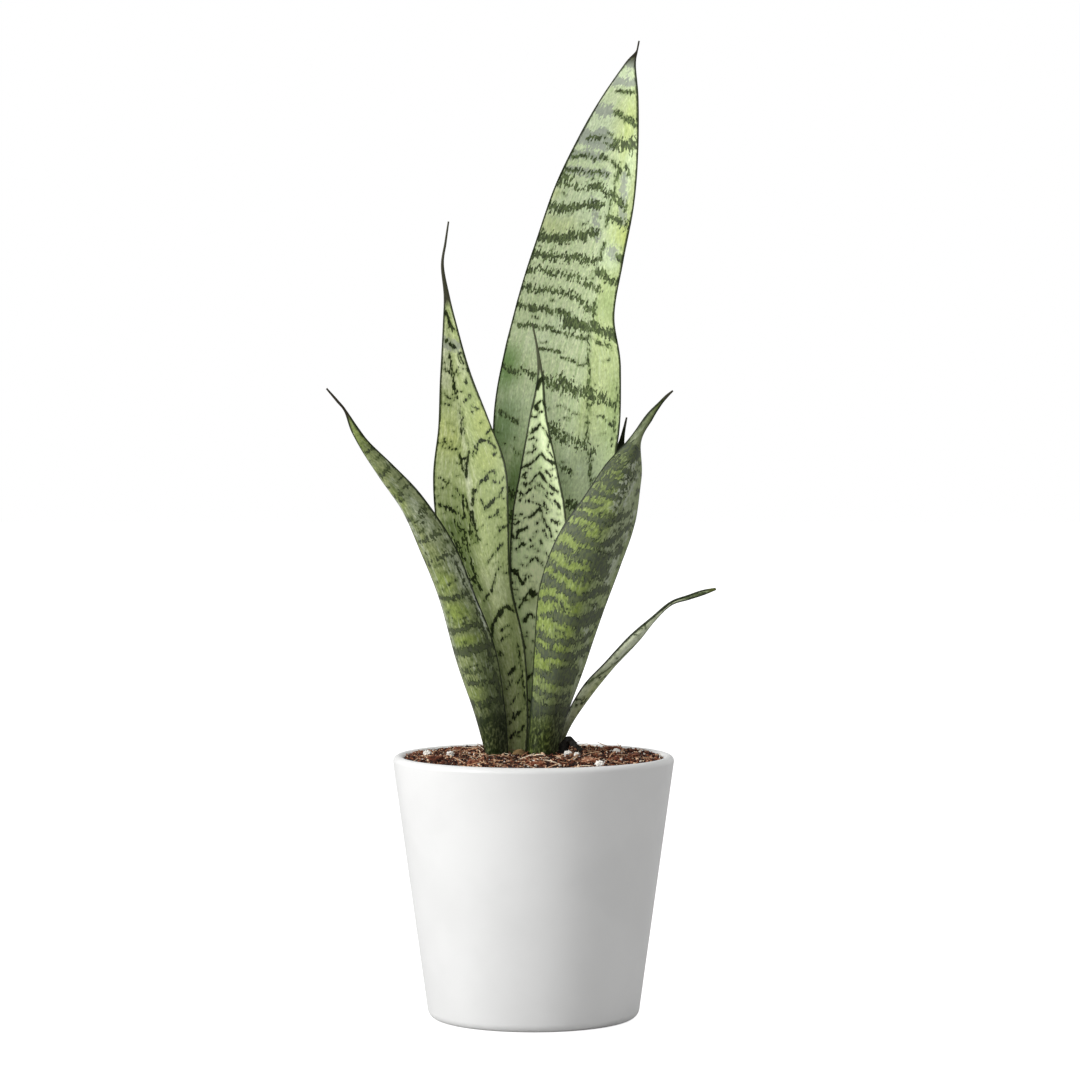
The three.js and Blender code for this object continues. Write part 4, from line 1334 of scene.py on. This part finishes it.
@dataclass(frozen=True)
class Planter:
    """The tapered pot, turned from one profile.

    Its height and greatest radius come from the frame. base_radius is the side wall continued
    down to the ground, and the rest are the wall, the floor, and the roundings of its corners, in
    millimetres. SLANT is the wall's lean in degrees, and WOBBLE how far out of round it is.
    """
    SLANT = 8
    WOBBLE = 0.0006

    base_radius: float = 50.3
    wall: float = 5.3
    floor: float = 8.0
    lip_drop: float = 2.2
    foot_round: float = 4.5
    corner: float = 6.0
    around: int = 224
    finish: PlanterFinish = PlanterFinish()

    @staticmethod
    def _arc(centre: tuple[float, float], radius: float, start: float, end: float,
             steps: int) -> np.ndarray:
        """Points of an arc between two angles, in degrees."""
        angle = np.radians(np.linspace(start, end, steps))
        return np.array(centre) + radius * np.stack([np.cos(angle), np.sin(angle)], -1)

    def profile(self) -> np.ndarray:
        """Radius and height from the middle of the underside, over the lip, to that of the floor."""
        _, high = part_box("planter")
        height = high.z / MM
        taper = (high.x / MM - self.base_radius) / (height - self.lip_drop)
        lip = self.wall / 2
        foot_x = self.base_radius + taper * self.foot_round - self.foot_round
        lip_x = self.base_radius + taper * (height - lip) - lip
        inside_x = self.base_radius + taper * self.floor - self.wall - self.corner
        base = np.linspace((0.5, 0), (foot_x - 0.4, 0), 24)
        foot = self._arc((foot_x, self.foot_round), self.foot_round, -90, -self.SLANT, 18)
        rim = self._arc((lip_x, height - lip), lip, -self.SLANT, 180 - self.SLANT, 40)
        corner = self._arc((inside_x, self.floor + self.corner), self.corner, -self.SLANT, -90, 12)
        floor = np.linspace((inside_x - 1, self.floor), (0.5, self.floor), 12)
        side = np.linspace(foot[-1], rim[0], 46)[1:-1]
        inner = np.linspace(rim[-1], corner[0], 24)[1:-1]
        return np.vstack([base, foot, side, rim, inner, corner, floor])

    def build(self, finisher: Finisher) -> bpy.types.Object:
        """Turn the profile about the upright axis, a hair out of round as thrown clay is.

        Args:
            finisher: makes the material.

        Returns:
            The planter.
        """
        profile = self.profile()
        angle = circle(self.around)
        radius = profile[:, :1] * (1 + self.WOBBLE * np.sin(2 * angle + 0.7))
        rings = turned(radius, profile[:, 1:], angle)
        material = finisher.planter("planter_glaze", self.finish)
        return MeshPiece.from_rings("planter_shell", rings * MM, material, "planter_glaze",
                                    ("planter",))


# ---- potting mix --------------------------------------------------------------------------

@dataclass(frozen=True)
class Grit:
    """One kind of loose crumb strewn over the bed.

    sizes are the shortest and longest length in millimetres, shape the proportions of its three
    axes, lean the most it tilts in degrees, and sunk how much of its height is in the bed.
    """
    name: str
    slot: str
    finish: MixFinish
    count: int
    sizes: tuple[float, float]
    shape: tuple[float, float, float]
    lean: float
    sunk: float
    seed: int
    strand: bool = False


@dataclass(frozen=True)
class PottingMix:
    """The bed of bark and coir: a lumpy top on a solid bed, strewn with crumbs, chips and perlite."""
    edge_height: float = 124.8
    crown_height: float = 126.6
    radius: float = 61.9
    base_radius: float = 45.2
    grits: tuple[Grit, ...] = (
        Grit("coir_granules", "potting_mix", GRANULE_FINISH, count=5200, sizes=(0.6, 2.0),
             shape=(1, 0.8, 0.65), lean=180, sunk=0.35, seed=201),
        Grit("bark_flakes", "bark", FLAKE_FINISH, count=640, sizes=(1.4, 4.0),
             shape=(1, 0.66, 0.4), lean=50, sunk=0.3, seed=202),
        Grit("coir_strands", "potting_mix", STRAND_FINISH, count=260, sizes=(4.0, 13.0),
             shape=(1, 0.045, 0.045), lean=26, sunk=0.0, seed=203, strand=True),
        Grit("perlite_crumbs", "perlite", PERLITE_FINISH, count=190, sizes=(0.6, 1.9),
             shape=(1, 0.85, 0.8), lean=180, sunk=0.3, seed=204),
    )

    def height(self, x: np.ndarray, y: np.ndarray) -> np.ndarray:
        """Height of the bed, in millimetres.

        Formula: a low dome from the wall to the crown, plus lumps of three sizes, which fade out
        towards the wall.

        Args:
            x: places to the right of the axis.
            y: places behind the axis.

        Returns:
            One height per place.
        """
        part = np.clip(np.hypot(x, y) / self.radius, 0, 1)
        dome = self.edge_height + (self.crown_height - self.edge_height) * (1 - part ** 2)
        spots = np.stack([x, y], -1)
        rough = 0.42 * lumps(spots, 11, 61) + 0.3 * lumps(spots, 4.6, 62) + 0.16 * lumps(spots, 2.1, 63)
        return dome + rough * np.clip((1 - part) * 8, 0.25, 1)

    def bed(self, finisher: Finisher) -> bpy.types.Object:
        """Make the bed.

        Formula: rings run up the wall of the planter, then inwards over the lumpy dome.

        Args:
            finisher: makes the material.

        Returns:
            The bed, standing for the frame's potting mix.
        """
        angle = circle(240)
        low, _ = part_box("potting_mix")
        bottom = low.z / MM
        rise = np.linspace((self.base_radius, bottom), (self.radius, self.edge_height - 1.2), 10)
        wall = np.vstack([[[20, bottom]], rise])
        side = turned(wall[:, :1], wall[:, 1:], angle)
        radii = np.linspace(self.radius, 0.5, 78)[:, None]
        top = turned(radii, self.height(radii * np.cos(angle), radii * np.sin(angle)), angle)
        rings = np.concatenate([side, top])
        tone = 0.4 + 0.3 * lumps(rings.reshape(-1, 3), 5, 64).reshape(rings.shape[:2])
        material = finisher.crumb("packed_mix", BED_FINISH)
        return MeshPiece.from_rings("potting_mix_bed", rings * MM, material, "potting_mix",
                                    ("potting_mix",), {"tone": tone})

    def strew(self, grit: Grit, finisher: Finisher) -> bpy.types.Object:
        """Make all crumbs of one kind as one mesh.

        Formula: one many-sided grain, its corners moved in or out at random, is scaled, turned and
        set down on the bed once for each crumb, at a place spread evenly over the disc and clear
        of the leaves. A strand is a three-sided thread bent along a parabola.

        Args:
            grit: the kind of crumb.
            finisher: makes the material.

        Returns:
            The crumbs.
        """
        rng = np.random.default_rng(grit.seed)
        reach = (self.radius - grit.sizes[0] * 0.4) * np.sqrt(rng.uniform(0, 1, grit.count * 2))
        heading = rng.uniform(0, TAU, grit.count * 2)
        x, y = reach * np.cos(heading), reach * np.sin(heading)
        clear = np.ones(len(x), bool)
        for leaf in LEAVES:
            foot_x, foot_y, _, left, right = leaf.stations[0][:5]
            off_x = (x - foot_x - (right - left) / 2) / ((left + right) / 2 + 0.4)
            clear &= off_x ** 2 + ((y - foot_y) / 2.6) ** 2 > 1
        x, y = x[clear][:grit.count], y[clear][:grit.count]
        count = len(x)
        least, most = grit.sizes
        size = rng.uniform(0, 1, count) ** 2 * (most - least) + least
        local, faces = strand_form(rng, count) if grit.strand else grain_form(rng, count)
        local = local * np.array(grit.shape) * size[:, None, None] / 2
        spin = rng.uniform(0, TAU, count)
        pitch, roll = np.radians([rng.uniform(-grit.lean, grit.lean, count) for _ in range(2)])
        points = np.einsum("nij,nvj->nvi", turning(spin, pitch, roll), local)
        lift = size * grit.shape[2] * (0.5 - grit.sunk)
        if grit.strand:
            lift = lift + rng.uniform(0.1, 1.0, count)
        points += np.stack([x, y, self.height(x, y) + lift], -1)[:, None]
        room = self.radius / np.maximum(np.hypot(points[..., 0], points[..., 1]), self.radius)
        points[..., :2] *= room[..., None]
        corners = local.shape[1]
        tone = np.repeat(rng.beta(0.8, 1.15, count), corners)
        first = corners * np.arange(count)[:, None, None]
        blocks = [(first + block).reshape(-1, block.shape[1]) for block in faces]
        material = finisher.crumb(f"{grit.name}_skin", grit.finish)
        return MeshPiece.make(grit.name, points.reshape(-1, 3) * MM, blocks, material, grit.slot,
                              values={"tone": tone}, smooth=False)

    def build(self, finisher: Finisher) -> list[bpy.types.Object]:
        """Make the bed and everything strewn on it."""
        return [self.bed(finisher), *(self.strew(grit, finisher) for grit in self.grits)]


def grain_form(rng: np.random.Generator, count: int) -> tuple[np.ndarray, list[np.ndarray]]:
    """Irregular twenty-faced grains.

    Args:
        rng: source of randomness.
        count: number of grains.

    Returns:
        Points, count by 12 by 3, of grains about two units across, and the triangles of one grain.
    """
    golden = (1 + 5 ** 0.5) / 2
    corners = unit(np.array([
        (-1, golden, 0), (1, golden, 0), (-1, -golden, 0), (1, -golden, 0),
        (0, -1, golden), (0, 1, golden), (0, -1, -golden), (0, 1, -golden),
        (golden, 0, -1), (golden, 0, 1), (-golden, 0, -1), (-golden, 0, 1)]))
    faces = np.array([
        (0, 11, 5), (0, 5, 1), (0, 1, 7), (0, 7, 10), (0, 10, 11), (1, 5, 9), (5, 11, 4),
        (11, 10, 2), (10, 7, 6), (7, 1, 8), (3, 9, 4), (3, 4, 2), (3, 2, 6), (3, 6, 8),
        (3, 8, 9), (4, 9, 5), (2, 4, 11), (6, 2, 10), (8, 6, 7), (9, 8, 1)])
    return corners * rng.uniform(0.62, 1.15, (count, len(corners), 1)), [faces]


def strand_form(rng: np.random.Generator, count: int) -> tuple[np.ndarray, list[np.ndarray]]:
    """Thin bent threads of three sides and seven rings.

    Args:
        rng: source of randomness.
        count: number of threads.

    Returns:
        Points of threads two units long whose thickness is stretched by their own bend, and the
        quads and end triangles of one thread.
    """
    rings = 7
    s = np.linspace(-1, 1, rings)
    angle = circle(3)
    taper = 1 - 0.6 * s ** 4
    base = np.stack([np.repeat(s, 3), np.outer(taper, np.cos(angle)).ravel(),
                     np.outer(taper, np.sin(angle)).ravel()], -1)
    points = np.repeat(base[None], count, 0)
    sag, sway = rng.uniform(-5, 2, (count, 1)), rng.uniform(-9, 9, (count, 1))
    points[..., 2] += sag * base[:, 0] ** 2
    points[..., 1] += sway * base[:, 0] ** 2 + rng.uniform(-3, 3, (count, 1)) * base[:, 0] ** 3
    quads, _ = ring_faces(rings, 3)
    last = (rings - 1) * 3
    return points, [quads, np.array([(0, 2, 1), (last, last + 1, last + 2)])]


def turning(spin: np.ndarray, pitch: np.ndarray, roll: np.ndarray) -> np.ndarray:
    """Rotation matrices that roll about X, pitch about Y and then spin about Z.

    Args:
        spin: angles about Z, in radians.
        pitch: angles about Y.
        roll: angles about X.

    Returns:
        One 3 by 3 matrix per angle.
    """
    zero, one = np.zeros_like(spin), np.ones_like(spin)
    cos, sin = np.cos([spin, pitch, roll]), np.sin([spin, pitch, roll])
    about_z = np.array([[cos[0], -sin[0], zero], [sin[0], cos[0], zero], [zero, zero, one]])
    about_y = np.array([[cos[1], zero, sin[1]], [zero, one, zero], [-sin[1], zero, cos[1]]])
    about_x = np.array([[one, zero, zero], [zero, cos[2], -sin[2]], [zero, sin[2], cos[2]]])
    return np.einsum("ijn,jkn,kln->nil", about_z, about_y, about_x)


@dataclass(frozen=True)
class LooseLump:
    """One loose piece that stands for a frame node of its own, such as a bark chip.

    blunt squares its corners off (1 is round, less is boxier), and rough and pitch are the depth
    and spacing of its surface, as parts of its size.
    """
    node: str
    slot: str
    finish: MixFinish
    blunt: float
    rough: float
    pitch: float
    seed: int
    tone: float = 0.5

    def build(self, material: bpy.types.Material) -> bpy.types.Object:
        """Make the lump in the place of its frame node.

        Formula: a sphere of rings whose three coordinates are each raised to the power blunt, then
        moved in and out by a random field, and scaled to the node's box.

        Args:
            material: its material.

        Returns:
            The lump.
        """
        polar = np.linspace(0.06, np.pi - 0.06, 34)[:, None]
        ball = turned(np.sin(polar), np.cos(polar), circle(48))
        form = np.sign(ball) * np.abs(ball) ** self.blunt
        spots = form.reshape(-1, 3)
        fine = lumps(spots, self.pitch * 0.4, self.seed + 1)
        depth = (lumps(spots, self.pitch, self.seed) + 0.5 * fine).reshape(form.shape[:2])
        form = form * (1 + self.rough * depth[..., None])
        form = form / np.abs(form).reshape(-1, 3).max(0)
        low, high = (np.array(corner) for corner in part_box(self.node))
        rings = (low + high) / 2 + form * (high - low) / 2
        tone = np.clip(self.tone + 0.2 * depth, 0, 1)
        return MeshPiece.from_rings(f"{self.node}_form", rings, material, self.slot, (self.node,),
                                    {"tone": tone})


def nodes_named(start: str) -> list[str]:
    """List the frame's nodes whose name begins so, in order."""
    return sorted(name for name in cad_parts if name.startswith(start))


def loose_lumps() -> list[LooseLump]:
    """List every loose piece that the frame has a node for."""
    chips = [LooseLump(name, "bark", FLAKE_FINISH, blunt=0.62, rough=0.14, pitch=0.8,
                       seed=300 + number, tone=0.3 + 0.08 * (number % 5))
             for number, name in enumerate(nodes_named("bark_chip"))]
    grains = [LooseLump(name, "perlite", PERLITE_FINISH, blunt=0.8, rough=0.24, pitch=0.7,
                        seed=340 + number, tone=0.7)
              for number, name in enumerate(nodes_named("perlite_grain"))]
    knob = LooseLump("rhizome_knob", "rhizome", RHIZOME_FINISH, blunt=0.95, rough=0.06, pitch=0.7,
                     seed=380)
    return [*chips, *grains, knob]


@dataclass(frozen=True)
class DriedSheath:
    """A crumpled black scrap of old leaf base, on the same stations as its frame node."""
    stations: tuple[tuple[float, ...], ...] = (
        (13.5, -3, 125.6, 1.8, 2.6, 20, 40), (15.5, -2.5, 131, 2.8, 3, 36, 50),
        (18.5, -3, 132.6, 2.4, 2.4, 50, 50), (23, -4.5, 128.4, 1, 1, 60, 20))

    def build(self, finisher: Finisher) -> bpy.types.Object:
        """Make the scrap as a small leaf skin crumpled by a random field."""
        skin = Leaf(name="dried_sheath", slot="dry_sheath", sweep=Sweep.BACK, crisp=0.5, bow=24,
                    stations=self.stations, marks=(), finish=DARK, ripple=0.6, rows=70, around=56, seed=53)
        rings = skin.surface()[0]
        spots = rings.reshape(-1, 3)
        crumple = np.stack([lumps(spots, 3.2, 70 + axis) for axis in range(3)], -1)
        rings = rings + 0.35 * crumple.reshape(rings.shape)
        tone = 0.35 + 0.3 * lumps(spots, 2.4, 75).reshape(rings.shape[:2])
        material = finisher.crumb("dried_sheath_skin", SHEATH_FINISH)
        return MeshPiece.from_rings("dried_sheath_scrap", rings * MM, material, "dry_sheath",
                                    ("dried_sheath",), {"tone": tone})


# ---- studio -------------------------------------------------------------------------------

@dataclass(frozen=True)
class Studio:
    """Pale floor, soft lights and the camera, in metres, degrees and millimetres of lens."""
    lens: float = 127.33
    distance: float = 1.828
    pitch: float = 2.2
    aim: tuple[float, float, float] = (0.0031, 0.0, 0.2291)
    floor_size: float = 14.0
    light_distance: float = 1.6
    light_aim: tuple[float, float, float] = (0.0, 0.0, 0.22)

    def camera(self) -> None:
        """Place the camera in front, a little above, tilted down by pitch."""
        data = bpy.data.cameras.new("studio_camera")
        data.lens = self.lens
        data.sensor_width = 36.0
        data.clip_end = 60.0
        camera = bpy.data.objects.new("studio_camera", data)
        tilt = math.radians(self.pitch)
        back = Vector((0.0, -math.cos(tilt), math.sin(tilt)))
        camera.location = Vector(self.aim) + back * self.distance
        camera.rotation_euler = (math.pi / 2 - tilt, 0.0, 0.0)
        bpy.context.scene.collection.objects.link(camera)
        bpy.context.scene.camera = camera

    def floor(self) -> None:
        """Lay a wide pale floor at the ground."""
        half = self.floor_size / 2
        mesh = bpy.data.meshes.new("studio_floor")
        corners = [(-half, -half, 0), (half, -half, 0), (half, half, 0), (-half, half, 0)]
        mesh.from_pydata(corners, [], [(0, 1, 2, 3)])
        material = bpy.data.materials.new("pale_floor")
        material.use_nodes = True
        shader = material.node_tree.nodes["Principled BSDF"]
        shader.inputs["Base Color"].default_value = (0.6, 0.6, 0.6, 1.0)
        shader.inputs["Roughness"].default_value = 0.9
        shader.inputs["Specular IOR Level"].default_value = 0.0
        graph = Graph(material.node_tree)
        seen = graph.add("ShaderNodeLightPath").outputs["Is Camera Ray"]
        graph.feed(shader.inputs["Emission Color"], graph.mix(seen, (0.0, 0.0, 0.0), (1.0, 1.0, 1.0)))
        shader.inputs["Emission Strength"].default_value = 0.85
        mesh.materials.append(material)
        floor = bpy.data.objects.new("studio_floor", mesh)
        bpy.context.scene.collection.objects.link(floor)

    def area_light(self, name: str, azimuth: float, height: float, size: float,
                   power: float) -> None:
        """Hang a square soft light that faces the plant.

        Args:
            name: name of the light.
            azimuth: degrees from the front, positive to the right.
            height: metres above the ground.
            size: side of the square, in metres.
            power: watts.
        """
        data = bpy.data.lights.new(name, "AREA")
        data.energy = power
        data.shape = "SQUARE"
        data.size = size
        light = bpy.data.objects.new(name, data)
        angle = math.radians(azimuth)
        light.location = (self.light_distance * math.sin(angle),
                          -self.light_distance * math.cos(angle), height)
        aim = Vector(self.light_aim) - light.location
        light.rotation_euler = aim.to_track_quat("-Z", "Y").to_euler()
        bpy.context.scene.collection.objects.link(light)

    def surroundings(self) -> None:
        """White surroundings: dark in front, and brighter behind, above and to the right."""
        world = bpy.data.worlds.new("white_studio")
        world.use_nodes = True
        bpy.context.scene.world = world
        graph = Graph(world.node_tree)
        world.node_tree.nodes.clear()
        direction = graph.split(graph.add("ShaderNodeTexCoord").outputs["Generated"])
        behind = graph.ease(direction[1], -0.9, 1.0, 0.0, 0.6)
        above = graph.ease(direction[2], 0.35, 1.0, 0.0, 0.6)
        right = graph.ease(direction[0], 0.2, 1.0, 0.0, 0.38)
        level = graph.weigh(behind, (above, 1.0), (right, 1.0))
        seen = graph.add("ShaderNodeLightPath").outputs["Is Camera Ray"]
        strength = graph.maths("MAXIMUM", level, seen)
        background = graph.add("ShaderNodeBackground")
        background.inputs["Color"].default_value = (1.0, 1.0, 1.0, 1.0)
        graph.feed(background.inputs["Strength"], strength)
        graph.feed(graph.add("ShaderNodeOutputWorld").inputs["Surface"], background.outputs[0])

    def build(self) -> None:
        """Set up the camera, floor and lights."""
        bpy.context.scene.view_settings.view_transform = "Standard"
        self.camera()
        self.floor()
        self.surroundings()
        self.area_light("key_light", azimuth=-58.0, height=0.75, size=0.55, power=23.0)
        self.area_light("fill_light", azimuth=-20.0, height=1.0, size=0.7, power=4.2)


# ---- assembly -----------------------------------------------------------------------------

def main() -> None:
    """Build the studio, then the planter, the mix, the leaves and the loose pieces, in order."""
    logging.basicConfig(level=logging.INFO, format="%(name)s: %(message)s")
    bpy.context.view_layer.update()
    finisher = Finisher()
    Studio().build()
    Planter().build(finisher)
    PottingMix().build(finisher)
    for leaf in LEAVES:
        leaf.build(finisher)
    made: dict[MixFinish, bpy.types.Material] = {}
    for lump in loose_lumps():
        if lump.finish not in made:
            made[lump.finish] = finisher.crumb(f"loose_{lump.slot}_skin", lump.finish)
        lump.build(made[lump.finish])
    DriedSheath().build(finisher)


if __name__ == "__main__":
    main()
